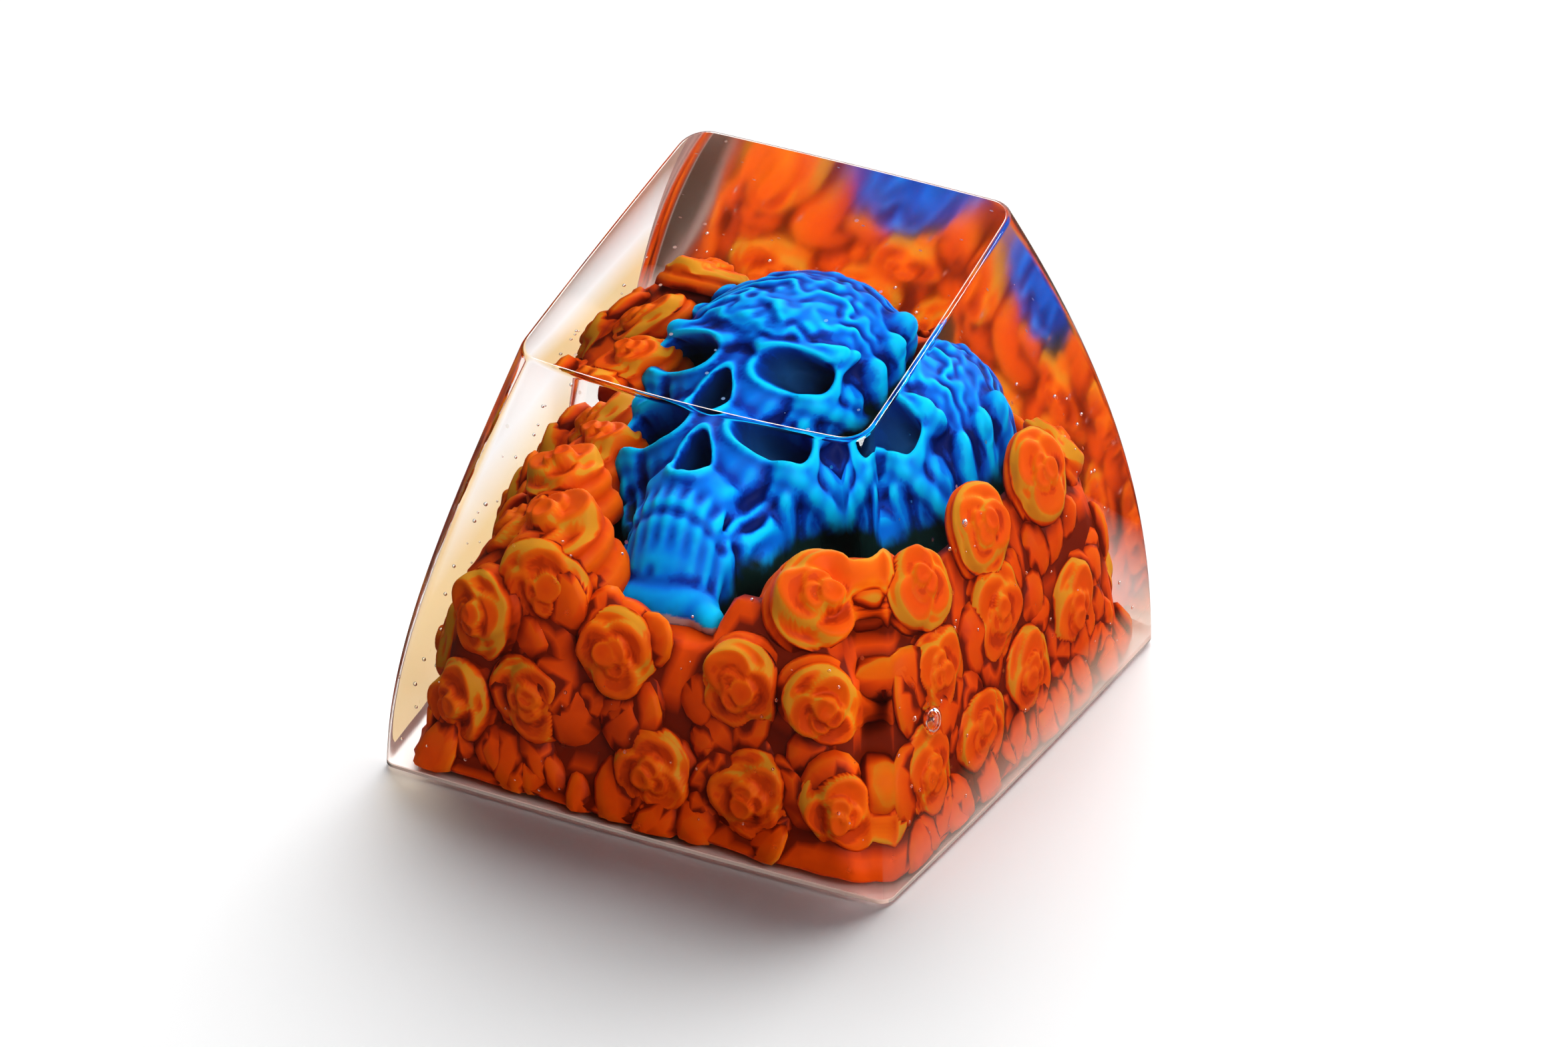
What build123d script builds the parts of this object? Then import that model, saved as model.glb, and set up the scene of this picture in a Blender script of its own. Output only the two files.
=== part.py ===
from build123d import *
from math import atan, cos, copysign, pi, radians, sin, sqrt, tan
import os

# A clear cast keycap with a painted skull lying back on a bed of painted roses.
# Frame: X to the right, Y to the back, Z up, origin on the rim plane under the middle.

# Outer casting
BASE_HALF = 9.05            # half the base width at the rim corners
TOP_MIDDLE_HEIGHT = 14.95   # height of the top face over the origin
TOP_SLOPE = 0.267           # rise of the top face for each millimetre towards the back
TOP_FRONT_HALF = 6.17       # half width of the top at its front edge
TOP_BACK_HALF = 5.82        # half width of the top at its back edge
TOP_FRONT_REACH = 4.95      # front top edge ahead of the origin
TOP_BACK_REACH = 5.98       # back top edge behind the origin
SIDE_BELLY = 0.59           # outward belly of the side walls at half height
FRONT_BELLY = 0.68          # the same on the front wall
BACK_BELLY = 0.93           # the same on the back wall
BELLY_LOW = 0.49            # how much lower than half height the bellies sit
RIM_BOW = 0.115             # outward bow of each wall in plan at the rim
TOP_FRONT_BOW = 0.29        # outward bow of the front wall in plan at the top
TOP_OTHER_BOW = 0.06        # outward bow of the other walls in plan at the top
RIM_CORNER = 0.45           # corner radius in plan at the rim
TOP_CORNER = 0.90           # corner radius in plan at the top
RIM_EDGE = 0.20             # bevel of the bottom outer edge
TOP_EDGE = 0.10             # bevel of the crisp top edge
DISH_DEPTH = 0.08           # hollow of the finger dish in the top face
DISH_MARGIN = 0.40          # how far the dish would run on past the corners of the top
SECTION_SHARES = (0.0, 0.25, 0.5, 0.75, 1.0)

# Underside
HOLLOW_WIDTH = 13.0         # square hollow at the rim
HOLLOW_CORNER = 0.8
HOLLOW_HEIGHT = 4.7         # rim to ceiling
HOLLOW_DRAFT = 2.0          # degrees
STEM_DIAMETER = 5.5
STEM_RECESS = 0.5           # end of the stem above the rim
CROSS_LENGTH = 4.1
CROSS_WIDE = 1.35           # slot that runs along X
CROSS_NARROW = 1.2          # slot that runs along Y
CROSS_DEPTH = 4.0

# Rose bed
SKIN = 0.30                 # clear resin between the hollow and the bed
BED_FOOT = 0.25             # lowest edge of the bed above the rim
BED_COVER = 0.55            # clear resin beside the spreading foot of the bed
BED_WAIST = 1.5             # height where the spreading foot ends
BED_WAIST_HALF = 7.75
BED_SHOULDER = 6.2          # height where the bed turns in
BED_SHOULDER_HALF = 7.0
BED_TOP = 7.6
BED_TOP_HALF = 5.7
BED_CORNER = 1.1            # corners cut off the bed in plan
BED_FLOOR = 0.6             # bed under the skull
BOWL_HALF = 5.2             # half width of the bowl round the skull, at the top
BOWL_DRAFT = 20.0           # degrees
CHIN_NOTCH_WIDTH = 4.6
CHIN_NOTCH_FLOOR = 6.15     # height of the bed under the chin

# Roses
ROSE_SINK = 0.9             # length of a rose's root into the bed
ROSE_COVER = 0.20           # clear resin in front of a rose
PETAL_RISE = 0.30           # petals above the bed
PETALS = 3
PETAL_NOTCH = 0.74          # reach of the notch between two petals, as a share
PETAL_SHOULDERS = (0.28, 0.72)
BUD_SHARE = 0.48            # bud against the outer petals
BUD_RISE = 0.35             # bud above the outer petals
BUD_FOLDS = 3
BUD_TWIST = 60.0            # degrees that the bud is turned against the petals
TWIST_STEP = 47.0           # degrees that each rose is turned against the one before
WALL_LEAN = 4.6             # degrees that the wall roses face upwards
SHOULDER_LEAN = 37.0        # the same for the roses on the shoulder
CORNER_TURN = 31.0          # degrees that the corner roses face sideways
CORNER_INSET = 0.25         # corner roses behind those of the front wall
# On the front wall: place along it, height and radius.
FRONT_ROSES = (
    (-3.9, 6.75, 1.75), (-4.15, 3.25, 1.6), (-1.25, 5.4, 1.6), (3.2, 5.45, 1.6), (0.4, 1.95, 1.6),
    (3.9, 2.0, 1.7),
)
# At the front corners, in the same order.
CORNER_ROSES = ((-6.55, 2.45, 1.55), (5.95, 5.35, 1.5), (6.8, 2.3, 1.55), (-6.1, 5.4, 1.5))
# On the right, back and left walls alike.
SIDE_ROSES = (
    (-5.2, 2.5, 1.6), (-1.9, 2.3, 1.6), (1.4, 2.6, 1.6), (4.7, 3.2, 1.7),
    (-3.7, 5.3, 1.6), (0.0, 5.3, 1.7),
)
# On the shoulders of those walls: turn of the wall, place along it, distance out, height and radius.
SHOULDER_ROSES = (
    (90, -3.4, 6.45, 7.8, 1.6), (90, 0.5, 6.45, 7.8, 1.6), (90, 4.3, 6.45, 7.8, 1.7),
    (180, -5.0, 6.4, 7.4, 1.6), (180, 5.0, 6.4, 7.4, 1.6),
    (270, -3.4, 5.7, 7.2, 1.6), (270, 0.5, 5.7, 7.2, 1.6), (270, 4.3, 5.7, 7.2, 1.7),
)
# Beside the skull: X, Y, height, sideways turn, upward lean and radius.
CROWN_ROSES = (
    (-4.2, -5.0, 8.0, -60, 62, 1.9), (5.0, -5.2, 8.0, 39, 50, 1.8),
    (-4.9, -2.4, 8.5, -90, 68, 1.5), (-4.7, 0.8, 8.0, -90, 62, 1.4),
)

# Skull, upright and facing the front, with its origin in the middle of the cranium
CRANIUM_RADIUS = 3.85
EYE_APART = 4.0             # between the middles of the eye sockets
EYE_WIDTH = 2.7
EYE_HEIGHT = 1.95
EYE_FRONT = 5.2             # ahead of the brow
EYE_DEPTH = 2.7
EYE_DROP = 1.08             # below the middle of the cranium
EYE_DROOP = 10.0            # degrees that a socket falls towards the temple
EYE_TAPER = 9.0             # degrees
EYE_SIDES = 8
NOSE_WIDTH = 1.35
NOSE_HEIGHT = 2.0
NOSE_FRONT = 5.8            # ahead of the face
NOSE_DEPTH = 2.1
NOSE_DROP = 2.5
NOSE_TAPER = 6.0            # degrees
NOSE_CORNERS = ((0.25, -0.75), (1, -1), (1, -0.2), (0.4, 0.8))  # shares of half its width and height
# Slices of the face: below the middle of the cranium, width, reach ahead of it and depth.
BROW_SLICE = (-0.7, 6.4, 4.35, 3.4)
EYE_SLICE = (1.0, 6.5, 4.5, 3.6)
CHEEK_SLICE = (2.3, 6.5, 4.65, 3.6)
MUZZLE_SLICE = (5.05, 3.5, 5.4, 3.0)
GUM_SLICE = (5.05, 3.4, 5.3, 2.6)
CHIN_SLICE = (8.3, 4.4, 4.65, 1.6)
SIDE_FLAT = 0.42            # where the side of a slice ends, as a share of its depth
CHEEK_FLAT = 0.10           # where its slanting flat ends, as a share of its depth
CHEEK_FLAT_OUT = 0.55       # the same, as a share of its half width
CHEEK_BONE = ((3.3, -2.9, -2.2), (3.5, 0.2, -1.9))
CHEEK_THICK = 0.95
ROD_SIDES = 6
TOOTH_COUNT = 6
TOOTH_HEIGHT = 0.85
TOOTH_DEPTH = 1.2
TOOTH_PROUD = 0.16
TOOTH_GAP = 0.10
TOOTH_FAN = 62.0            # degrees from the first tooth to the last
TOOTH_BEND = 1.1            # how far the end of the row stands back
MOUTH_GAP = 0.14            # between the upper and the lower teeth
# Folds of cheek and temple: where each hangs from on the right, from the jaw to the nape.
FOLDS = (
    (1.45, -3.6, -5.9), (1.65, -3.4, -4.7), (2.05, -3.2, -3.65), (2.5, -3.0, -2.75), (2.95, -2.6, -2.0),
    (3.3, -2.05, -1.15), (3.5, -1.4, -0.05), (3.45, -0.9, 1.15),
)
FOLD_PROUD = 0.45           # how far a fold stands out from where it hangs
FOLD_GROOVE = 0.15          # the same for the groove between two folds
FOLD_TOP = 7.6              # height where the folds pass under the cheek

# How the skull lies
SKULL_PLACE = (-0.35, 3.5, 6.9)
SKULL_SINK = 0.1            # its flat underside below the floor of the bowl
LEAN_BACK = 60.0            # crown tips to the back
BODY_TURN = 4.0             # the whole head swings to the left
HEAD_TILT = 7.5             # crown tips to the left
HEAD_TURN = 7.0             # face turns to the left


def belly(share):
    """Outward swell of a wall at a share of the height, one at its fullest."""
    return 4 * share * (1 - share) * (1 + BELLY_LOW * (0.5 - share))


def blend(low, high, share):
    return low + (high - low) * share


def wall_reach(top_reach, belly_size, share):
    """Distance of a wall's corner from the middle at a share of the height."""
    return blend(BASE_HALF, top_reach, share) + belly_size * belly(share)


def cap_section(share):
    """Bowed rectangle with round corners, tipping towards the front as it rises."""
    slope = TOP_SLOPE * share
    stretch = sqrt(1 + slope * slope)
    front_x = wall_reach(TOP_FRONT_HALF, SIDE_BELLY, share)
    back_x = wall_reach(TOP_BACK_HALF, SIDE_BELLY, share)
    front_y = -stretch * wall_reach(TOP_FRONT_REACH, FRONT_BELLY, share)
    back_y = stretch * wall_reach(TOP_BACK_REACH, BACK_BELLY, share)
    front_bow = blend(RIM_BOW, TOP_FRONT_BOW, share)
    other_bow = blend(RIM_BOW, TOP_OTHER_BOW, share)
    side_x = (front_x + back_x) / 2 + other_bow
    side_y = (front_y + back_y) / 2
    plane = Plane((0, 0, TOP_MIDDLE_HEIGHT * share), (1, 0, 0), (0, -slope, 1))
    with BuildSketch(plane) as section:
        with BuildLine():
            ThreePointArc((-front_x, front_y), (0, front_y - front_bow), (front_x, front_y))
            ThreePointArc((front_x, front_y), (side_x, side_y), (back_x, back_y))
            ThreePointArc((back_x, back_y), (0, back_y + other_bow), (-back_x, back_y))
            ThreePointArc((-back_x, back_y), (-side_x, side_y), (-front_x, front_y))
        make_face()
        fillet(section.vertices(), blend(RIM_CORNER, TOP_CORNER, share))
    return section.sketch


def cap_form():
    """Outer form: walls lofted through the sections, dished on top, edges eased."""
    form = loft([cap_section(share) for share in SECTION_SHARES])
    tip = atan(TOP_SLOPE)
    wide = max(TOP_FRONT_HALF, TOP_BACK_HALF)
    long = max(TOP_FRONT_REACH, TOP_BACK_REACH) / cos(tip)
    dish_span = sqrt(wide**2 + long**2) + DISH_MARGIN
    dish_radius = dish_span**2 / (2 * DISH_DEPTH)
    rise = dish_radius - DISH_DEPTH
    middle = (0, -rise * sin(tip), TOP_MIDDLE_HEIGHT + rise * cos(tip))
    form = form - Pos(*middle) * Sphere(dish_radius)
    form = chamfer(form.faces().sort_by(Axis.Z)[0].edges(), RIM_EDGE)
    return chamfer(form.faces().sort_by(Axis.Z)[-1].edges(), TOP_EDGE)


def underside_hollow():
    """Square hollow for the switch, narrowing to its ceiling."""
    narrowing = HOLLOW_HEIGHT * tan(radians(HOLLOW_DRAFT))
    top_width = HOLLOW_WIDTH - 2 * narrowing
    rim = RectangleRounded(HOLLOW_WIDTH, HOLLOW_WIDTH, HOLLOW_CORNER)
    ceiling = Pos(0, 0, HOLLOW_HEIGHT) * RectangleRounded(top_width, top_width, HOLLOW_CORNER)
    return loft([rim, ceiling], ruled=True)


def bed_recess():
    """Room under the bed for the hollow and the clear skin around it."""
    width = HOLLOW_WIDTH + 2 * SKIN
    outline = chamfer(Rectangle(width, width).vertices(), HOLLOW_CORNER / 2)
    return extrude(outline, HOLLOW_HEIGHT + SKIN, taper=HOLLOW_DRAFT)


def bowl_floor():
    return HOLLOW_HEIGHT + SKIN + BED_FLOOR


def stem():
    """Round post with the cross socket that grips a switch."""
    length = HOLLOW_HEIGHT - STEM_RECESS + SKIN
    post = Pos(0, 0, STEM_RECESS) * extrude(Circle(STEM_DIAMETER / 2), length)
    slots = Rectangle(CROSS_LENGTH, CROSS_WIDE) + Rectangle(CROSS_NARROW, CROSS_LENGTH)
    return post - Pos(0, 0, STEM_RECESS) * extrude(slots, CROSS_DEPTH)


def bed_step(low, low_half, high, high_half):
    """One level of the bed: a square with cut corners that narrows as it rises."""
    outline = chamfer(Rectangle(2 * low_half, 2 * low_half).vertices(), BED_CORNER)
    draft = atan((low_half - high_half) / (high - low)) * 180 / pi
    return Pos(0, 0, low) * extrude(outline, high - low, taper=draft)


def bed_block():
    """Spreading foot, wall and shoulder, with a bowl for the skull and a notch for its chin."""
    block = bed_step(BED_FOOT, BASE_HALF - BED_COVER, BED_WAIST, BED_WAIST_HALF)
    block = block + bed_step(BED_WAIST, BED_WAIST_HALF, BED_SHOULDER, BED_SHOULDER_HALF)
    block = block + bed_step(BED_SHOULDER, BED_SHOULDER_HALF, BED_TOP, BED_TOP_HALF)
    mouth = chamfer(Rectangle(2 * BOWL_HALF, 2 * BOWL_HALF).vertices(), BED_CORNER)
    bowl = Pos(0, 0, BED_TOP) * extrude(mouth, bowl_floor() - BED_TOP, taper=BOWL_DRAFT)
    notch = Box(CHIN_NOTCH_WIDTH, BASE_HALF, BED_TOP, align=(Align.CENTER, Align.MAX, Align.MIN))
    return block - bowl - Pos(SKULL_PLACE[0], 0, CHIN_NOTCH_FLOOR) * notch


def petal_ring(radius, twist):
    """Flat outline of a ring of petals: two shoulders to a petal and a notch between."""
    pitch = 360 / PETALS
    points = []
    for petal in range(PETALS):
        start = twist + petal * pitch
        points.append(Vector(PETAL_NOTCH * radius).rotate(Axis.Z, start))
        for place in PETAL_SHOULDERS:
            points.append(Vector(radius).rotate(Axis.Z, start + place * pitch))
    return make_face(Polyline(*points, close=True))


def bud_outline(radius, twist):
    """Flat outline of the rolled bud, with as many arms as it has folds."""
    points = []
    for number in range(2 * BUD_FOLDS):
        reach = PETAL_NOTCH * radius if number % 2 else radius
        points.append(Vector(reach).rotate(Axis.Z, twist + number * 180 / BUD_FOLDS))
    return make_face(Polyline(*points, close=True))


def rose(radius, twist):
    """Rose seen from its face: open petals round a rolled bud, with the root below zero."""
    petals = extrude(petal_ring(radius, twist), ROSE_SINK + PETAL_RISE)
    bud = extrude(bud_outline(BUD_SHARE * radius, twist + BUD_TWIST), PETAL_RISE + BUD_RISE)
    return Pos(0, 0, -ROSE_SINK) * petals + bud


def rose_out(turn, height):
    """How far out a wall rose sits: on the bed, or as far as the resin still covers it."""
    on_bed = blend(BED_WAIST_HALF, BED_SHOULDER_HALF, (height - BED_WAIST) / (BED_SHOULDER - BED_WAIST))
    share = height / (TOP_MIDDLE_HEIGHT - TOP_SLOPE * BASE_HALF)
    if turn:
        wall = wall_reach(TOP_BACK_HALF, SIDE_BELLY, share)
    else:
        wall = wall_reach(TOP_FRONT_REACH, FRONT_BELLY, share)
    return min(on_bed, wall - ROSE_COVER - PETAL_RISE - BUD_RISE)


def rose_place(turn, along, out, height, sideways, lean):
    """Place out from the middle on one wall, facing out, turned sideways and leaning up."""
    place = Pos(0, 0, height) * Rot(0, 0, turn) * Pos(along, -out, 0)
    return place * Rot(0, 0, sideways) * Rot(90 - lean, 0, 0)


def rose_places():
    """Place and radius of every rose: front wall, its corners, other walls, beside the skull."""
    places = []
    for along, height, radius in FRONT_ROSES:
        places.append((rose_place(0, along, rose_out(0, height), height, 0, WALL_LEAN), radius))
    for along, height, radius in CORNER_ROSES:
        out = rose_out(0, height) - CORNER_INSET
        sideways = copysign(CORNER_TURN, along)
        places.append((rose_place(0, along, out, height, sideways, WALL_LEAN), radius))
    for turn in (90, 180, 270):
        for along, height, radius in SIDE_ROSES:
            place = rose_place(turn, along, rose_out(turn, height), height, 0, WALL_LEAN)
            places.append((place, radius))
    for turn, along, out, height, radius in SHOULDER_ROSES:
        places.append((rose_place(turn, along, out, height, 0, SHOULDER_LEAN), radius))
    for x, y, height, sideways, lean, radius in CROWN_ROSES:
        places.append((rose_place(0, x, -y, height, sideways, lean), radius))
    return places


def face_section(drop, width, reach, depth):
    """Slice of the face with a straight back and a front of five flats."""
    half = width / 2
    rim = [(-half, depth - reach), (-half, SIDE_FLAT * depth - reach)]
    rim += [(-CHEEK_FLAT_OUT * half, CHEEK_FLAT * depth - reach), (0, -reach)]
    rim += [(-x, y) for x, y in reversed(rim[:3])]
    return Pos(0, 0, -drop) * make_face(Polyline(*rim, close=True))


def face_mask():
    """Brow, cheeks and upper jaw, lofted down the face."""
    slices = (BROW_SLICE, EYE_SLICE, CHEEK_SLICE, MUZZLE_SLICE)
    return loft([face_section(*values) for values in slices], ruled=True)


def lower_jaw():
    return loft([face_section(*GUM_SLICE), face_section(*CHIN_SLICE)], ruled=True)


def cheek_bone(side):
    """Six-sided bar from the cheek to the ear."""
    front, back = (Vector(side * x, y, z) for x, y, z in CHEEK_BONE)
    along = back - front
    return extrude(Plane(front, z_dir=along) * RegularPolygon(CHEEK_THICK / 2, ROD_SIDES), along.length)


def teeth_row(drop):
    """Row of teeth standing a little proud of the round front of the jaw."""
    _, width, reach, _ = MUZZLE_SLICE
    pitch = width / TOOTH_COUNT
    tooth = Box(pitch - TOOTH_GAP, TOOTH_DEPTH, TOOTH_HEIGHT, align=(Align.CENTER, Align.MIN, Align.CENTER))
    row = []
    for number in range(TOOTH_COUNT):
        share = (number + 0.5) / TOOTH_COUNT - 0.5
        back = TOOTH_BEND * (2 * share) ** 2
        place = Pos(share * width, back - reach - TOOTH_PROUD, -drop) * Rot(0, 0, TOOTH_FAN * share)
        row.append(place * tooth)
    return row


def eye_socket(side):
    """Tapered pit with many sides, drooping a little towards the temple."""
    front = Plane((side * EYE_APART / 2, -EYE_FRONT, -EYE_DROP), (1, 0, 0), (0, 1, 0))
    corners = []
    for number in range(EYE_SIDES):
        angle = 2 * pi * (number + 0.5) / EYE_SIDES
        corners.append((EYE_WIDTH / 2 * cos(angle), EYE_HEIGHT / 2 * sin(angle)))
    outline = make_face(Polyline(*corners, close=True))
    return extrude(front * Rot(0, 0, side * EYE_DROOP) * outline, EYE_DEPTH, taper=EYE_TAPER)


def nose_hole():
    """Pear-shaped opening, wide below and narrow above."""
    right = [(x * NOSE_WIDTH / 2, z * NOSE_HEIGHT / 2) for x, z in NOSE_CORNERS]
    left = [(-x, z) for x, z in reversed(right)]
    front = Plane((0, -NOSE_FRONT, -NOSE_DROP), (1, 0, 0), (0, -1, 0))
    outline = make_face(Polyline(*right, (0, NOSE_HEIGHT / 2), *left, close=True))
    return extrude(front * outline, -NOSE_DEPTH, taper=NOSE_TAPER)


def skull_form():
    """Skull upright and facing the front, without the folds."""
    form = Sphere(CRANIUM_RADIUS) + face_mask() + lower_jaw() + cheek_bone(-1) + cheek_bone(1)
    mouth = MUZZLE_SLICE[0]
    apart = (TOOTH_HEIGHT + MOUTH_GAP) / 2
    form = form + teeth_row(mouth - apart) + teeth_row(mouth + apart)
    return form - eye_socket(-1) - eye_socket(1) - nose_hole()


def fold_wall(stand):
    """Fluted wall of folds that hang from the cheeks and temples down into the bowl."""
    hung = [(stand * Pos(side * x, y, z)).position for side in (1, -1) for x, y, z in FOLDS[::side]]
    middle = Vector(*SKULL_PLACE)
    points = []
    for start, after in zip(hung, hung[1:] + hung[:1]):
        for spot, proud in ((start, FOLD_PROUD), ((start + after) / 2, FOLD_GROOVE)):
            way = Vector(spot.X - middle.X, spot.Y - middle.Y)
            points.append(Vector(spot.X, spot.Y) + way.normalized() * proud)
    outline = make_face(Polyline(*points, close=True))
    floor = bowl_floor() - SKULL_SINK
    return Pos(0, 0, floor) * extrude(outline, FOLD_TOP - floor)


def placed_skull():
    """Skull lying back in the bed, cut flat just below the floor of the bowl."""
    stand = Pos(*SKULL_PLACE) * Rot(0, 0, -BODY_TURN) * Rot(-LEAN_BACK, 0, 0)
    stand = stand * Rot(0, -HEAD_TILT, 0) * Rot(0, 0, -HEAD_TURN)
    room = 4 * BASE_HALF
    below = Box(room, room, room, align=(Align.CENTER, Align.CENTER, Align.MAX))
    head = stand * skull_form() - Pos(0, 0, bowl_floor() - SKULL_SINK) * below
    return head + fold_wall(stand)


def rose_bed(skull):
    """Bed and roses cast as one, hollow below and shaped to the skull above."""
    roses = []
    for number, (place, radius) in enumerate(rose_places()):
        roses.append(place * rose(radius, TWIST_STEP * number))
    return bed_block() + roses - bed_recess() - skull


def main():
    os.makedirs("parts", exist_ok=True)
    skull = placed_skull()
    bed = rose_bed(skull)
    body = cap_form() - underside_hollow() + stem() - skull - bed
    for name, piece in (("resin_body", body), ("skull", skull), ("rose_bed", bed)):
        export_step(piece, f"parts/{name}.step")
        print(name, round(piece.volume, 2), len(piece.solids()))


main()
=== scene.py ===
# %% [markdown]
# # A clear keycap with a skull on a bed of roses
# The real object is a keycap for a keyboard, cast in clear resin round a small
# painted figure: a blue skull that leans back on a block of orange roses. This
# lesson dresses the measured solids: the resin gets smooth, polished walls that
# bend light, and the figure gets the fine relief that a plain solid leaves out.

# %% Load the measured solids
import math
import random
import bmesh
import bpy
import numpy as np
from mathutils import Matrix, Vector, noise
from mathutils.bvhtree import BVHTree


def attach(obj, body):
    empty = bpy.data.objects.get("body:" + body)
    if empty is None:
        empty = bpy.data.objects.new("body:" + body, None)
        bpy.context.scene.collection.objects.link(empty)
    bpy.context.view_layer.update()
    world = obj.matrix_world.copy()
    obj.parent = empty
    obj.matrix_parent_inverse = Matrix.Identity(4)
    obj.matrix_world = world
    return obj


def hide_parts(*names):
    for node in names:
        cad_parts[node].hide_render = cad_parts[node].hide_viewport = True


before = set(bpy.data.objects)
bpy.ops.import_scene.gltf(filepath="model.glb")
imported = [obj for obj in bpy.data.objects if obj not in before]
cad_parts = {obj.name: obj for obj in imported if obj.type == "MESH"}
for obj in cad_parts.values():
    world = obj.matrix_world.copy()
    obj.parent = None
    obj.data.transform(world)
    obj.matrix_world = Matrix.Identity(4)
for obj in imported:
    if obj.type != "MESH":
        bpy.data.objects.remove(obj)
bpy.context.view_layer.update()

MM = 0.001
scene = bpy.context.scene
print("solids:", sorted(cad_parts))

# %% [markdown]
# ## The camera
# The photograph was taken with a long lens from the front right and from above.
# A camera could be aimed with a constraint, but its place is known in figures,
# so its matrix is written straight from the three viewing angles.

# %% Camera
CAMERA_TURN = math.radians(29.621)
CAMERA_RISE = math.radians(30.255)
CAMERA_ROLL = math.radians(-1.274)
CAMERA_AWAY = 300 * MM
CAMERA_SLIDE = 0.369 * MM
CAMERA_LIFT = 5.696 * MM
LENS, SENSOR_WIDTH = 216.47, 36
NEAREST = 10 * MM


def camera_axes():
    """The camera's right, up and backward directions."""
    backward = Vector((
        math.sin(CAMERA_TURN) * math.cos(CAMERA_RISE),
        -math.cos(CAMERA_TURN) * math.cos(CAMERA_RISE),
        math.sin(CAMERA_RISE),
    ))
    level = Vector((math.cos(CAMERA_TURN), math.sin(CAMERA_TURN), 0))
    upward = backward.cross(level)
    roll = Matrix.Rotation(CAMERA_ROLL, 3, backward)
    return roll @ level, roll @ upward, backward


side, upward, backward = camera_axes()
eye = CAMERA_AWAY * backward + CAMERA_SLIDE * side + CAMERA_LIFT * upward
camera_data = bpy.data.cameras.new("camera")
camera_data.sensor_fit = "HORIZONTAL"
camera_data.sensor_width = SENSOR_WIDTH
camera_data.lens = LENS
camera_data.clip_start = NEAREST
camera = bpy.data.objects.new("camera", camera_data)
camera.matrix_world = Matrix.Translation(eye) @ Matrix((side, upward, backward)).transposed().to_4x4()
scene.collection.objects.link(camera)
scene.camera = camera
print("camera at", [round(c, 4) for c in eye])

# %% [markdown]
# ## Lamps
# The photograph has one soft shadow that falls towards the camera, so the main
# lamp stands behind the part and is very wide. It is kept out of mirror
# reflections, or it would glare in the tilted top. Two more lamps stand at the
# right, in front and behind. They could light the floor too, but that would
# wash the shadow out, so light linking lets them reach the part alone.

# %% Lamps
SUN_LEVEL = 4.85
SUN_FROM = Vector((-0.14, 0.74, 0.64))
SUN_SOFTNESS = math.radians(52)
FILL_LEVEL = 3.2
FILL_FROM = Vector((0.88, -0.42, 0.75))
FILL_SOFTNESS = math.radians(30)
EDGE_LEVEL = 0.5
EDGE_FROM = Vector((0.64, 0.50, 0.58))
EDGE_SOFTNESS = math.radians(7)


def add_sun(name, level, toward, softness):
    """A lamp so far away that its light is parallel."""
    data = bpy.data.lights.new(name, "SUN")
    data.energy = level
    data.angle = softness
    lamp = bpy.data.objects.new(name, data)
    lamp.rotation_mode = "QUATERNION"
    lamp.rotation_quaternion = toward.to_track_quat("Z", "Y")
    scene.collection.objects.link(lamp)
    return lamp


key_lamp = add_sun("key_lamp", SUN_LEVEL, SUN_FROM, SUN_SOFTNESS)
key_lamp.visible_glossy = False
fill_lamp = add_sun("fill_lamp", FILL_LEVEL, FILL_FROM, FILL_SOFTNESS)
edge_lamp = add_sun("edge_lamp", EDGE_LEVEL, EDGE_FROM, EDGE_SOFTNESS)
figure_lit = bpy.data.collections.new("figure_lit")
for lamp in (fill_lamp, edge_lamp):
    lamp.light_linking.receiver_collection = figure_lit
print("lamps:", key_lamp.name, fill_lamp.name, edge_lamp.name)

# %% [markdown]
# ## Helpers for nodes
# Sky, floor, resin and paint are all built from shader nodes. They could be
# wired by hand in the node editor. A few helpers do the same here, so that each
# recipe below needs only one line for each node.

# %% Helpers for nodes


def feed(tree, node, inputs):
    """Give each named input a plain value, or the socket that feeds it."""
    for name, given in inputs.items():
        if isinstance(given, bpy.types.NodeSocket):
            tree.links.new(given, node.inputs[name])
        else:
            node.inputs[name].default_value = given


def add_node(tree, kind, inputs):
    """A new node with its inputs fed."""
    node = tree.nodes.new("ShaderNode" + kind)
    feed(tree, node, inputs)
    return node


def add_math(tree, operation, *terms):
    """The result of a calculation on plain numbers and sockets."""
    node = add_node(tree, "Math", dict(enumerate(terms)))
    node.operation = operation
    return node.outputs[0]


def add_range(tree, source, low, high):
    """A source from 0 to 1, spread between two other values."""
    return add_node(tree, "MapRange", {"Value": source, "To Min": low, "To Max": high}).outputs["Result"]


def add_ramp(tree, source, stops):
    """Colour and alpha of a ramp; stops lists (position, colour) from low to high."""
    node = add_node(tree, "ValToRGB", {"Fac": source})
    elements = node.color_ramp.elements
    for element, (position, color) in ((elements[0], stops[0]), (elements[1], stops[-1])):
        element.position = position
        element.color = color
    for position, color in stops[1:-1]:
        elements.new(position).color = color
    return node.outputs


def mix_shaders(tree, share, first, second):
    """Two shaders mixed by a share."""
    return add_node(tree, "MixShader", {"Fac": share, 1: first.outputs[0], 2: second.outputs[0]})


def object_place(tree):
    """The place on the object itself, which stays with the part."""
    return add_node(tree, "TexCoord", {}).outputs["Object"]


def light_path(tree, question):
    """One of the questions about the ray that has arrived."""
    return add_node(tree, "LightPath", {}).outputs[question]


def node_material(name):
    """A node material, its tree and its Principled shader."""
    material = bpy.data.materials.new(name)
    material.use_nodes = True
    tree = material.node_tree
    return material, tree, tree.nodes["Principled BSDF"]


def show(tree, shader):
    """Lead a shader to the material's output."""
    feed(tree, tree.nodes["Material Output"], {"Surface": shader.outputs[0]})


print("node helpers ready")

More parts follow.
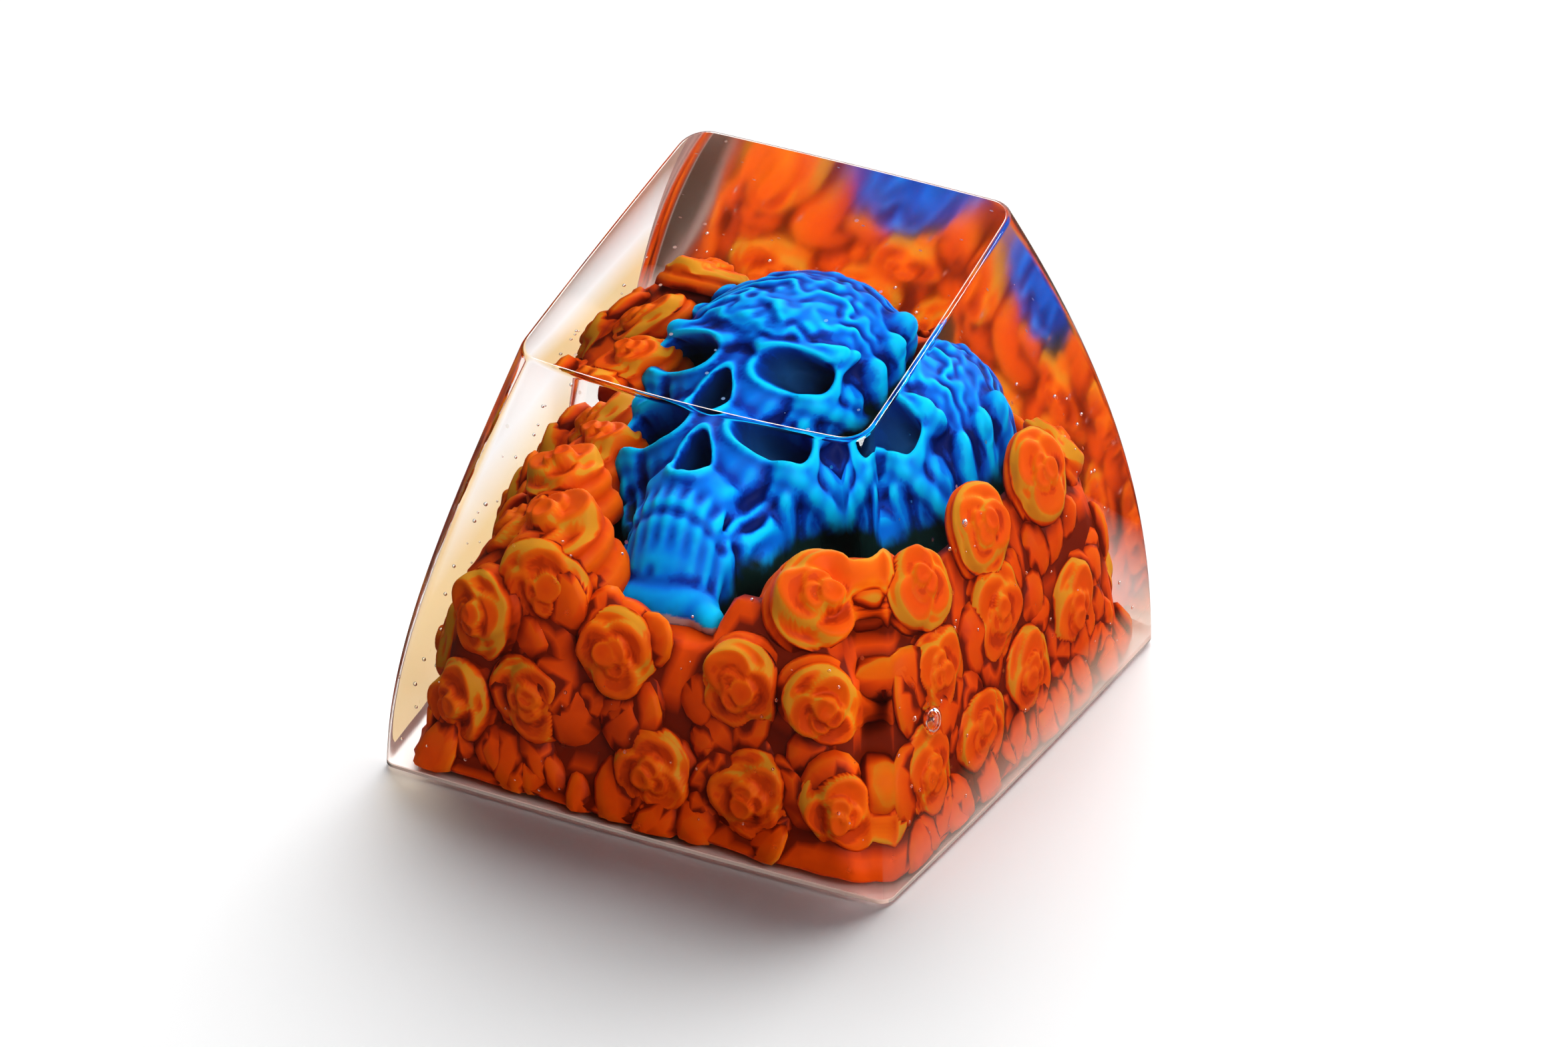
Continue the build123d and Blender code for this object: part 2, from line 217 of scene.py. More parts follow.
# %% [markdown]
# ## Sky and floor
# The ground is plain white. Rays from the camera, also through the resin, see a
# white sky, while rays that light a surface see a much dimmer one, so the shadow
# stays. Mirror rays see a nearly black sky and floor, because the real walls
# reflect little. One wide sheet is the floor, with a faint grain in its white.

# %% Sky
SKY_LEVEL = 0.07
SKY_COLOR = (0.95, 0.98, 1, 1)
WHITE = (1, 1, 1, 1)
MIRROR_LEVEL = 0.03
world = bpy.data.worlds.new("studio")
world.use_nodes = True
scene.world = world
sky = world.node_tree
sky.nodes.clear()
lit = add_math(sky, "GREATER_THAN", light_path(sky, "Diffuse Depth"), 0.5)
mirrored = add_range(sky, light_path(sky, "Is Reflection Ray"), 1.0, MIRROR_LEVEL)
seen_sky = add_node(sky, "Background", {"Color": WHITE, "Strength": mirrored})
light_sky = add_node(sky, "Background", {"Color": SKY_COLOR, "Strength": SKY_LEVEL})
add_node(sky, "OutputWorld", {"Surface": mix_shaders(sky, lit, seen_sky, light_sky).outputs[0]})
scene.view_settings.view_transform = "Standard"
print("sky level:", SKY_LEVEL, "main lamp:", SUN_LEVEL)

# %% Floor
FLOOR_SIZE = 1.5
FLOOR_GAP = 0.02 * MM
FLOOR_GRAIN = 60
FLOOR_TONES = [(0, (0.985, 0.985, 0.985, 1)), (1, WHITE)]
floor_paint, tree, shader = node_material("floor_paint")
grain = add_node(tree, "TexNoise", {"Vector": object_place(tree), "Scale": FLOOR_GRAIN})
tone = add_ramp(tree, grain.outputs["Fac"], FLOOR_TONES)["Color"]
feed(tree, shader, {"Base Color": tone, "Roughness": 0.9, "Specular IOR Level": 0.0})
mirrored_floor = add_node(tree, "BsdfDiffuse", {"Color": (MIRROR_LEVEL, MIRROR_LEVEL, MIRROR_LEVEL, 1)})
show(tree, mix_shaders(tree, light_path(tree, "Is Reflection Ray"), shader, mirrored_floor))
floor_mesh = bpy.data.meshes.new("floor")
bm = bmesh.new()
bmesh.ops.create_grid(bm, x_segments=1, y_segments=1, size=FLOOR_SIZE,
                      matrix=Matrix.Translation((0, 0, -FLOOR_GAP)))
bm.to_mesh(floor_mesh)
bm.free()
floor = bpy.data.objects.new("floor", floor_mesh)
floor_mesh.materials.append(floor_paint)
scene.collection.objects.link(floor)
print("floor:", len(floor_mesh.polygons), "face")

# %% [markdown]
# ## Shared finish: specks
# Cast resin carries tiny dull specks on its surface. They could be drawn again
# in every finish. One node group gives a mask of sparse dots instead, and all
# the resin finishes share it.

# %% Speck mask group
speck_group = bpy.data.node_groups.new("speck_mask", "ShaderNodeTree")
for name, way in (("Scale", "INPUT"), ("Size", "INPUT"), ("Specks", "OUTPUT")):
    speck_group.interface.new_socket(name, in_out=way, socket_type="NodeSocketFloat")
group_in = speck_group.nodes.new("NodeGroupInput").outputs
group_out = speck_group.nodes.new("NodeGroupOutput")
dots = add_node(speck_group, "TexVoronoi", {"Vector": object_place(speck_group), "Scale": group_in["Scale"]})
small = add_math(speck_group, "LESS_THAN", dots.outputs["Distance"], group_in["Size"])
feed(speck_group, group_out, {"Specks": small})
print("group:", speck_group.name)


def place_specks(tree, scale, size):
    """The speck group in a material, with its own grain and dot size."""
    specks = tree.nodes.new("ShaderNodeGroup")
    specks.node_tree = speck_group
    feed(tree, specks, {"Scale": scale, "Size": size})
    return specks.outputs["Specks"]


# %% [markdown]
# ## Clear resin
# The resin is polished until it bends light like glass, with a few fine specks
# on its surface. Glass would keep the lamps' direct light off the figure, so
# shadow rays meet a partly clear shader instead, and the paint inside is lit.
# The left and back walls carry painted light: seen from inside, part of the white ground shines straight
# through them, tinted warm at the foot as painted reflected light, and their resin has a faint warm tint for
# the same light. The right wall has a pale painted reflection above its foot instead, seen from outside and
# thicker to the back. A ramp over the height holds such painted light, its colour in the colours and its
# share in the alpha.

# %% Resin finishes
BASE_HALF = 9.05
PAINTED_LIGHT_TOP = 16.0
FRONT_REFLECTION_SHARE = 0.1
RESIN_IOR = 1.52
HAZE_GRAIN, HAZE_SHADE = 300, 0.97
SPECK_GRAIN, SPECK_SIZE = 900, 0.06
SHADOW_COLOR = (0.31, 0.33, 0.35, 1)


def with_painted_light(tree, shader, painted_light, inside):
    """A shader with painted light laid over it, from (height, colour, share), seen from inside or outside.
    """
    parts = add_node(tree, "SeparateXYZ", {"Vector": object_place(tree)}).outputs
    level = add_math(tree, "DIVIDE", parts["Z"], PAINTED_LIGHT_TOP * MM)
    tone = add_ramp(tree, level, [(height / PAINTED_LIGHT_TOP, (*color, share)) for height, color, share in painted_light])
    backfacing = add_node(tree, "NewGeometry", {}).outputs["Backfacing"]
    seen = add_range(tree, backfacing, 0.0 if inside else 1.0, 1.0 if inside else 0.0)
    amount = add_math(tree, "MULTIPLY", seen, tone["Alpha"])
    along = add_node(tree, "MapRange", {"Value": parts["Y"], "From Min": -BASE_HALF * MM,
                                        "From Max": BASE_HALF * MM, "To Min": 1.0 if inside else FRONT_REFLECTION_SHARE})
    faded = add_math(tree, "MULTIPLY", amount, along.outputs["Result"])
    painted_reflection = add_node(tree, "BsdfTransparent" if inside else "BsdfDiffuse", {"Color": tone["Color"]})
    return mix_shaders(tree, faded, shader, painted_reflection)


def resin_finish(name, polish, speck_dullness, tint, clearness, painted_light, inside):
    """A clear resin with fine dull specks, and painted light if some is given."""
    material, tree, shader = node_material(name)
    haze = add_node(tree, "TexNoise", {"Vector": object_place(tree), "Scale": HAZE_GRAIN})
    tone = add_ramp(tree, haze.outputs["Fac"], [(0, (*[HAZE_SHADE * c for c in tint], 1)), (1, (*tint, 1))])
    specks = place_specks(tree, SPECK_GRAIN, SPECK_SIZE)
    feed(tree, shader, {"Base Color": tone["Color"], "Transmission Weight": clearness, "IOR": RESIN_IOR,
                        "Roughness": add_range(tree, specks, polish, speck_dullness)})
    surface = with_painted_light(tree, shader, painted_light, inside) if painted_light else shader
    lit_through = add_node(tree, "BsdfTransparent", {"Color": SHADOW_COLOR})
    show(tree, mix_shaders(tree, light_path(tree, "Is Shadow Ray"), surface, lit_through))
    print("finish:", name)
    return material


# Painted light on the walls: on the left and back the white ground shows straight through, tinted warm at
# the foot; on the right lies a pale painted reflection.
LEFT_PAINTED_LIGHT = [(0, (1.0, 0.74, 0.40), 0.75), (4, (1.0, 0.76, 0.40), 0.75), (7, (1.0, 0.99, 0.98), 0.85),
             (10, (0.95, 0.92, 0.9), 0.6), (13, (0.5, 0.33, 0.25), 0.6)]
BACK_PAINTED_LIGHT = [(0, (1.0, 0.86, 0.80), 0.55), (1.5, (1.0, 0.86, 0.80), 0.5), (4.0, (1.0, 0.8, 0.7), 0.0)]
RIGHT_PAINTED_LIGHT = [(0, (1.0, 0.82, 0.75), 0.9), (0.9, (1.0, 0.76, 0.62), 0.5), (2.4, (1.0, 0.6, 0.3), 0.0)]
# The warm tint of the left and back walls is painted warm light. The moulded faces are frosted, and their
# warm tint is partly painted reflection of the orange roses.
CLEAR_TINT, PAINTED_WARM_TINT, MOULD_TINT = (1.0, 0.99, 0.98), (1.0, 0.95, 0.88), (1.0, 0.80, 0.70)
clear_resin = resin_finish("clear_resin", 0.0, 0.35, CLEAR_TINT, 1.0, [], True)
back_resin = resin_finish("back_resin", 0.13, 0.4, PAINTED_WARM_TINT, 1.0, BACK_PAINTED_LIGHT, True)
left_resin = resin_finish("left_resin", 0.22, 0.4, PAINTED_WARM_TINT, 1.0, LEFT_PAINTED_LIGHT, True)
right_resin = resin_finish("right_resin", 0.0, 0.35, CLEAR_TINT, 1.0, RIGHT_PAINTED_LIGHT, False)
moulded_resin = resin_finish("moulded_resin", 0.5, 0.7, MOULD_TINT, 0.5, [], True)

# %% [markdown]
# ## The resin body
# On the real cap this is one casting: bowed walls that lean in to a tilted
# top, a hollow below and a stem with a cross-shaped socket. It could be a
# boolean of several solids, but those leave ragged meshes that show in clear
# material. One ring of vertices is carried along the whole surface instead,
# over the top, down the walls, up the hollow and into the socket.

# %% Wall shape
TOP_MIDDLE_HEIGHT = 14.95
TOP_SLOPE = 0.267
TOP_FRONT_HALF, TOP_BACK_HALF = 6.17, 5.82
TOP_FRONT_REACH, TOP_BACK_REACH = 4.95, 5.98
SIDE_BELLY, FRONT_BELLY, BACK_BELLY = 0.59, 0.68, 0.93
BELLY_LOW = 0.49
RIM_BOW, TOP_FRONT_BOW, TOP_OTHER_BOW = 0.115, 0.29, 0.06
RIM_CORNER, TOP_CORNER = 0.45, 0.90
SIDE_STEPS, CORNER_STEPS = 22, 8


def blend(start, end, share):
    """A value part of the way from start to end."""
    return start + (end - start) * share


def wall_reach(share, top_reach, belly):
    """How far a wall stands from the middle at a share of its height."""
    swell = belly * 4 * share * (1 - share) * (1 + BELLY_LOW * (0.5 - share))
    return blend(BASE_HALF, top_reach, share) + swell


def bowed_ring(corners, bows, radius):
    """Points round a four-sided outline with bowed sides and round corners."""
    sides = []
    for i in range(4):
        a, b = Vector(corners[i]), Vector(corners[(i + 1) % 4])
        out = Vector((b.y - a.y, a.x - b.x)).normalized()
        sides.append((a, b - a, out * bows[i]))

    def along(i, u):
        a, run, bow = sides[i % 4]
        return a + run * u + bow * (4 * u * (1 - u))

    def heading(i, u):
        _, run, bow = sides[i % 4]
        return (run + bow * (4 * (1 - 2 * u))).normalized()

    points = []
    for i in range(4):
        before = heading(i - 1, 1).angle(heading(i, 0))
        after = heading(i, 1).angle(heading(i + 1, 0))
        length = sides[i][1].length
        first = radius * math.tan(before / 2) / length
        last = 1 - radius * math.tan(after / 2) / length
        for k in range(SIDE_STEPS):
            points.append(along(i, blend(first, last, k / SIDE_STEPS)))
        start, leave = along(i, last), heading(i, last)
        next_length = sides[(i + 1) % 4][1].length
        next_first = radius * math.tan(after / 2) / next_length
        end, arrive = along(i + 1, next_first), heading(i + 1, next_first)
        turn = leave.angle(arrive)
        reach = 4 / 3 * math.tan(turn / 4) * (end - start).length / (2 * math.sin(turn / 2))
        for k in range(CORNER_STEPS):
            t = k / CORNER_STEPS
            points.append(start * (1 - t) ** 3 + (start + leave * reach) * (3 * t * (1 - t) ** 2)
                          + (end - arrive * reach) * (3 * t * t * (1 - t)) + end * t ** 3)
    return points


def wall_ring(share):
    """The wall's outline at a share of its height, in millimetres."""
    front = wall_reach(share, TOP_FRONT_REACH, FRONT_BELLY)
    rear = wall_reach(share, TOP_BACK_REACH, BACK_BELLY)
    front_half = wall_reach(share, TOP_FRONT_HALF, SIDE_BELLY)
    rear_half = wall_reach(share, TOP_BACK_HALF, SIDE_BELLY)
    other = blend(RIM_BOW, TOP_OTHER_BOW, share)
    outline = bowed_ring(
        [(-front_half, -front), (front_half, -front), (rear_half, rear), (-rear_half, rear)],
        [blend(RIM_BOW, TOP_FRONT_BOW, share), other, other, other],
        blend(RIM_CORNER, TOP_CORNER, share),
    )
    return [Vector((p.x, p.y, share * (TOP_MIDDLE_HEIGHT + TOP_SLOPE * p.y))) for p in outline]


def start_ring(bm, points):
    """A first ring of vertices on the given points."""
    ring = bmesh.ops.create_circle(bm, segments=len(points), radius=1)["verts"]
    for vert, point in zip(ring, points):
        vert.co = point
    return ring


def ring_edges(bm, ring):
    """The edges between a ring's neighbouring vertices."""
    return [bm.edges.get((ring[i - 1], ring[i])) for i in range(len(ring))]


def carry_ring(bm, ring, points):
    """Extrude a ring and set the new ring on the given points."""
    made = bmesh.ops.extrude_edge_only(bm, edges=ring_edges(bm, ring))["geom"]
    fresh = {g for g in made if isinstance(g, bmesh.types.BMVert)}
    after = []
    for vert, point in zip(ring, points):
        twin = next(e.other_vert(vert) for e in vert.link_edges if e.other_vert(vert) in fresh)
        twin.co = point
        after.append(twin)
    return after


print("points in a ring:", len(wall_ring(0)))

# %% [markdown]
# ## The underside
# The hollow takes the top of a key switch, and the round post in it grips the
# switch with a cross-shaped socket. The cross could be cut with a boolean. Here
# each of its points is met by a line from the middle, so that the same ring of
# vertices runs on from the post into the socket.

# %% Underside values
HOLLOW_WIDTH, HOLLOW_CORNER, HOLLOW_HEIGHT = 13.0, 0.8, 4.7
HOLLOW_DRAFT = math.radians(2)
STEM_DIAMETER, STEM_RECESS = 5.5, 0.5
CROSS_LENGTH, CROSS_WIDE, CROSS_NARROW, CROSS_DEPTH = 4.1, 1.35, 1.2, 4.0


def hollow_ring(height):
    """The hollow's round-cornered square outline at one height."""
    half = HOLLOW_WIDTH / 2 - height * math.tan(HOLLOW_DRAFT)
    outline = bowed_ring([(-half, -half), (half, -half), (half, half), (-half, half)],
                         [0, 0, 0, 0], HOLLOW_CORNER)
    return [Vector((p.x, p.y, height)) for p in outline]


def stem_ring(radius, height):
    """A circle whose vertices stand at the hollow ring's angles."""
    return [Vector((p.x, p.y, 0)).normalized() * radius + Vector((0, 0, height))
            for p in hollow_ring(0)]


def cross_ring(height):
    """The socket's cross outline, met from the middle at each ring angle."""
    points = []
    for p in hollow_ring(0):
        way = Vector((p.x, p.y)).normalized()
        reaches = []
        for half_x, half_y in ((CROSS_LENGTH / 2, CROSS_WIDE / 2), (CROSS_NARROW / 2, CROSS_LENGTH / 2)):
            reaches.append(min(half_x / max(abs(way.x), 1e-6), half_y / max(abs(way.y), 1e-6)))
        reach = max(reaches)
        points.append(Vector((way.x * reach, way.y * reach, height)))
    return points


print("hollow:", HOLLOW_WIDTH, "mm wide and", HOLLOW_HEIGHT, "mm high")

# %% [markdown]
# ## One ring for the whole casting
# The ring starts on the edge of the top. It runs in over the dish, and again
# down the walls and up into the socket. The top edge and the rim are bevelled
# last, as the polishing cloth eases them. Each face then gets its finish from
# the way it looks, and sharp turns are marked so that flat walls shade flat.

# %% Carry the ring round the whole body
RIM_EDGE, TOP_EDGE = 0.20, 0.12
DISH_DEPTH = 0.08
WALL_LEVELS = 30
TOP_SHARES = (0.985, 0.96, 0.9, 0.8, 0.7, 0.6, 0.5, 0.4, 0.3, 0.2, 0.1)
HOLLOW_EASE, HOLLOW_MIDDLE = 0.3, 2.4
SHARP_TURN = math.radians(32)
POLISHED, BACK, LEFT, RIGHT, MOULDED = 0, 1, 2, 3, 4
FROST_BAND = 0.25
OUTSIDE_HALF = 6.6
WALL_TILT = 0.5

bm = bmesh.new()
top_ring = wall_ring(1)
top_middle = sum(top_ring, Vector()) / len(top_ring)
ring = start_ring(bm, top_ring)
first = ring
for share in TOP_SHARES:
    sunk = Vector((0, 0, -DISH_DEPTH * (1 - share ** 2)))
    ring = carry_ring(bm, ring, [top_middle.lerp(p, share) + sunk for p in top_ring])
bmesh.ops.contextual_create(bm, geom=ring)
ring = first
levels = [0.992, 0.98]
levels += [1 - k / WALL_LEVELS for k in range(1, WALL_LEVELS)]
levels += [0.02, 0.008]
for share in levels:
    ring = carry_ring(bm, ring, wall_ring(share))
rim = carry_ring(bm, ring, wall_ring(0))
mouth = carry_ring(bm, rim, hollow_ring(0))
ring = mouth
for height in (HOLLOW_EASE, HOLLOW_MIDDLE, HOLLOW_HEIGHT - HOLLOW_EASE):
    ring = carry_ring(bm, ring, hollow_ring(height))
roof = carry_ring(bm, ring, hollow_ring(HOLLOW_HEIGHT))
stem_root = carry_ring(bm, roof, stem_ring(STEM_DIAMETER / 2, HOLLOW_HEIGHT))
stem_end = carry_ring(bm, stem_root, stem_ring(STEM_DIAMETER / 2, STEM_RECESS))
socket = carry_ring(bm, stem_end, cross_ring(STEM_RECESS))
socket_top = carry_ring(bm, socket, cross_ring(STEM_RECESS + CROSS_DEPTH))
bmesh.ops.contextual_create(bm, geom=socket_top)
for edges, offset in ((ring_edges(bm, first), TOP_EDGE), (ring_edges(bm, rim), RIM_EDGE)):
    bmesh.ops.bevel(bm, geom=edges, offset=offset, offset_type="OFFSET", affect="EDGES",
                    segments=4, profile=0.5, material=-1)
bmesh.ops.recalc_face_normals(bm, faces=bm.faces)
for f in bm.faces:
    middle = f.calc_center_median()
    outside = max(abs(middle.x), abs(middle.y)) > OUTSIDE_HALF or middle.z > HOLLOW_HEIGHT + 0.1
    f.material_index = POLISHED
    if not outside or f.normal.z < -WALL_TILT or middle.z < FROST_BAND:
        f.material_index = MOULDED
    elif f.normal.y > WALL_TILT:
        f.material_index = BACK
    elif f.normal.x < -WALL_TILT:
        f.material_index = LEFT
    elif f.normal.x > WALL_TILT:
        f.material_index = RIGHT
for edge in bm.edges:
    edge.smooth = not (edge.is_manifold and edge.calc_face_angle(0) > SHARP_TURN)
print("resin faces:", len(bm.faces))

# %% [markdown]
# ## Air bubbles
# The casting holds one large bubble by the front right edge and a scatter of
# tiny ones. A bubble is a hole in the resin, so each is a small closed ball in
# the same mesh, turned so that its faces look into the air inside it.

# %% Bubbles in the same mesh
BUBBLES = [((8.25, -5.0, 4.4), 0.46), ((8.1, -5.9, 4.9), 0.10), ((7.2, -0.9, 9.0), 0.14)]
SMALL_BUBBLES = 150
BUBBLE_HEIGHTS, BUBBLE_DEPTHS, BUBBLE_RADII = (0.5, 9.0), (0.2, 0.6), (0.025, 0.07)
CORNER_MARGIN = 0.7
LARGE_BUBBLE = 0.3
WALLS = [(TOP_BACK_HALF, SIDE_BELLY), (TOP_FRONT_REACH, FRONT_BELLY),
         (TOP_BACK_HALF, SIDE_BELLY), (TOP_BACK_REACH, BACK_BELLY)]
FRONT_TOP_HEIGHT = TOP_MIDDLE_HEIGHT - TOP_SLOPE * BASE_HALF
drawn = random.Random(4)
for _ in range(SMALL_BUBBLES):
    wall = drawn.randrange(4)
    height = drawn.uniform(*BUBBLE_HEIGHTS)
    share = height / FRONT_TOP_HEIGHT
    away = wall_reach(share, *WALLS[wall]) - drawn.uniform(*BUBBLE_DEPTHS)
    room = wall_reach(share, TOP_FRONT_REACH, FRONT_BELLY) - CORNER_MARGIN
    along_wall = drawn.uniform(-1, 1) * room
    spot = Matrix.Rotation(-wall * math.pi / 2, 3, "Z") @ Vector((away, along_wall, height))
    BUBBLES.append((spot, drawn.uniform(*BUBBLE_RADII)))
for centre, radius in BUBBLES:
    steps = 4 if radius > LARGE_BUBBLE else 2
    verts = bmesh.ops.create_icosphere(bm, subdivisions=steps, radius=radius,
                                       matrix=Matrix.Translation(centre))["verts"]
    shell = {f for v in verts for f in v.link_faces}
    bmesh.ops.reverse_faces(bm, faces=list(shell))
print("bubbles:", len(BUBBLES))

# %% [markdown]
# ## From mesh to piece
# So far all sizes are in millimetres. A finished piece is scaled to metres, shaded smooth and tied to the
# part's body, and the measured solid that it stands for is hidden. All three pieces go through the same
# steps.

# %% The resin piece


def finish_piece(name, bm, material, node):
    """Turn a bmesh in millimetres into a piece that stands for a solid."""
    bmesh.ops.scale(bm, vec=(MM, MM, MM), verts=bm.verts)
    mesh = bpy.data.meshes.new(name)
    bm.to_mesh(mesh)
    bm.free()
    mesh.polygons.foreach_set("use_smooth", [True] * len(mesh.polygons))
    mesh.materials.append(material)
    piece = bpy.data.objects.new(name, mesh)
    scene.collection.objects.link(piece)
    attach(piece, "root")
    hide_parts(node)
    figure_lit.objects.link(piece)
    print(name, "faces:", len(mesh.polygons))
    return piece


resin = finish_piece("resin_walls", bm, clear_resin, "resin_body")
for finish in (back_resin, left_resin, right_resin, moulded_resin):
    resin.data.materials.append(finish)

# %% [markdown]
# ## The skull's rough form
# The figure was sculpted, cast and painted before the resin went round it. A
# sculptor starts with balls of clay, and so does this step: overlapping balls
# stand for the cranium, cheeks, jaw and teeth, and a voxel remesh melts them
# into one skin of even faces that can then be carved.

# %% Clay balls
SKULL_PLACE = (-0.35, 3.5, 6.9)
LEAN_BACK = math.radians(60)
HEAD_TILT = math.radians(7.5)
BODY_TURN = math.radians(4)
HEAD_TURN = math.radians(7)
skull_stand = (Matrix.Translation(SKULL_PLACE) @ Matrix.Rotation(-BODY_TURN, 4, "Z")
               @ Matrix.Rotation(-LEAN_BACK, 4, "X") @ Matrix.Rotation(-HEAD_TILT, 4, "Y")
               @ Matrix.Rotation(-HEAD_TURN, 4, "Z"))


def ready_mesh(name, bm):
    """Keep a small bmesh as a mesh that can be stamped many times."""
    mesh = bpy.data.meshes.new(name)
    bm.to_mesh(mesh)
    bm.free()
    return mesh


def stamp(bm, mesh, stand):
    """Add a moved copy of a ready mesh."""
    moved = mesh.copy()
    moved.transform(stand)
    bm.from_mesh(moved)
    bpy.data.meshes.remove(moved)


bm = bmesh.new()
bmesh.ops.create_icosphere(bm, subdivisions=3, radius=1)
clay_ball = ready_mesh("clay_ball", bm)
bm = bmesh.new()
bmesh.ops.create_icosphere(bm, subdivisions=2, radius=1)
clay_bead = ready_mesh("clay_bead", bm)


def ball(bm, centre, radii, ready=clay_ball):
    """One ball of clay, stretched to three radii."""
    stamp(bm, ready, Matrix.Translation(centre) @ Matrix.Diagonal((*radii, 1)))


def roll(bm, start, end, start_radius, end_radius):
    """A roll of clay from one point to another."""
    a, b = Vector(start), Vector(end)
    steps = max(2, int((b - a).length / (0.5 * min(start_radius, end_radius))))
    for k in range(steps + 1):
        radius = blend(start_radius, end_radius, k / steps)
        ball(bm, a.lerp(b, k / steps), (radius, radius, radius), clay_bead)


CRANIUM = ((0, 0, 0), (3.8, 3.95, 3.85))
BROW = ((0, -1.7, 0.3), (3.2, 2.7, 2.3))
FACE = ((0, -2.7, -2.0), (2.6, 1.95, 2.2))
MUZZLE = ((0, -3.35, -3.8), (1.8, 1.8, 1.45))
JAW = ((0, -3.0, -6.3), (1.85, 2.1, 1.65))
CHIN = ((0, -3.7, -7.6), (2.05, 0.95, 0.85))
FOLDS = [(1.45, -3.6, -5.9), (1.65, -3.4, -4.7), (2.05, -3.2, -3.65), (2.5, -3.0, -2.75),
         (2.95, -2.6, -2.0), (3.3, -2.05, -1.15), (3.5, -1.4, -0.05), (3.45, -0.9, 1.15), (3.2, -0.4, 2.2)]
FOLD_RADIUS, FOLD_SPREAD = 0.56, 0.3
SKULL_FLOOR = 5.5
bm = bmesh.new()
for centre, radii in (CRANIUM, BROW, FACE, MUZZLE, JAW, CHIN):
    ball(bm, centre, radii)
downward = skull_stand.to_3x3().inverted() @ Vector((0, 0, -1))
for hand in (-1, 1):
    roll(bm, (hand * 0.6, -4.2, -0.3), (hand * 2.9, -3.3, 0.0), 0.36, 0.45)
    ball(bm, (hand * 2.5, -2.95, -2.15), (0.95, 0.9, 0.6))
    ball(bm, (hand * 1.7, -2.3, -4.2), (1.1, 1.4, 1.8))
    roll(bm, (hand * 3.2, -2.6, -2.2), (hand * 3.6, 0.9, -1.9), 0.45, 0.6)
    roll(bm, (hand * 3.1, -2.95, -1.9), (hand * 3.2, -2.7, 0.0), 0.38, 0.45)
    for x, y, z in FOLDS:
        top = Vector((hand * x, y, z))
        length = (skull_stand @ top).z - SKULL_FLOOR + 0.3
        roll(bm, top, top + length * downward + Vector((hand * FOLD_SPREAD, 0, 0)), FOLD_RADIUS, FOLD_RADIUS)
    roll(bm, (hand * 1.0, -3.7, -7.5), (hand * 1.9, -3.85, -8.1), 0.7, 0.5)
print("clay faces:", len(bm.faces))

# %% [markdown]
# ## Teeth
# The teeth stand in two curved rows that meet in a bite which falls to the
# sides. Each tooth is a roll of clay that thins towards its root, and a ball
# behind it closes the bite, so that no hole is left between the rows.

# %% Teeth
TEETH_PER_ROW = 9
TOOTH_SPREAD = math.radians(58)
ROW_HALF, ROW_DEPTH, ROW_BACK = 1.9, 2.6, -2.7
BITE_HEIGHT, BITE_FALL = -5.05, 0.5
TOOTH_ROOT = 0.16
for k in range(TEETH_PER_ROW):
    turn = blend(-TOOTH_SPREAD, TOOTH_SPREAD, k / (TEETH_PER_ROW - 1))
    x, y = ROW_HALF * math.sin(turn), ROW_BACK - ROW_DEPTH * math.cos(turn)
    bite = BITE_HEIGHT - BITE_FALL * (turn / TOOTH_SPREAD) ** 2
    ball(bm, (x * 0.98, y + 0.42, bite), (0.34, 0.34, 0.3))
    roll(bm, (x, y + 0.12, bite + 0.27), (x * 1.05, y + 0.45, bite + 1.5), 0.26, TOOTH_ROOT)
    roll(bm, (x * 0.98, y + 0.22, bite - 0.34), (x * 1.06, y + 0.45, bite - 1.7), 0.29, TOOTH_ROOT)
print("teeth:", 2 * TEETH_PER_ROW)

# %% [markdown]
# ## Melting the clay
# A sculptor smears the balls together with a thumb. Booleans could join them
# too, but would leave creases with uneven faces. A voxel remesh covers them all
# with one even skin, and averaging each point with its neighbours softens it.

# %% Melt the clay into one skin
VOXEL = 0.085


def melted(bm, voxel):
    """One even skin round everything in the bmesh, as a new mesh."""
    rough = bpy.data.meshes.new("rough_clay")
    bm.to_mesh(rough)
    bm.free()
    clay = bpy.data.objects.new("rough_clay", rough)
    scene.collection.objects.link(clay)
    remesh = clay.modifiers.new("skin", "REMESH")
    remesh.mode = "VOXEL"
    remesh.voxel_size = voxel
    skin = bpy.data.meshes.new_from_object(clay.evaluated_get(bpy.context.evaluated_depsgraph_get()))
    bpy.data.objects.remove(clay)
    bpy.data.meshes.remove(rough)
    return skin


def points_of(mesh):
    """A mesh's vertex places as an array."""
    points = np.empty(len(mesh.vertices) * 3)
    mesh.vertices.foreach_get("co", points)
    return points.reshape(-1, 3)


def normals_of(mesh):
    """A mesh's vertex normals as an array."""
    mesh.update()
    return np.array([n.vector for n in mesh.vertex_normals])


def neighbours_of(mesh):
    """The two ends of every edge."""
    ends = np.empty(len(mesh.edges) * 2, dtype=np.int64)
    mesh.edges.foreach_get("vertices", ends)
    return ends.reshape(-1, 2)


def relaxed(points, ends, times, share=0.5):
    """Each point moved towards the middle of its neighbours."""
    count = np.bincount(ends.ravel(), minlength=len(points))[:, None]
    moved = points.copy()
    for _ in range(times):
        total = np.zeros_like(moved)
        for axis in range(3):
            total[:, axis] = (np.bincount(ends[:, 0], moved[ends[:, 1], axis], len(points))
                              + np.bincount(ends[:, 1], moved[ends[:, 0], axis], len(points)))
        moved += share * (total / count - moved)
    return moved


def set_points(mesh, points):
    """Put an array of places back on a mesh."""
    mesh.vertices.foreach_set("co", points.ravel())
    mesh.update()


skin = melted(bm, VOXEL)
print("skull skin faces:", len(skin.polygons))

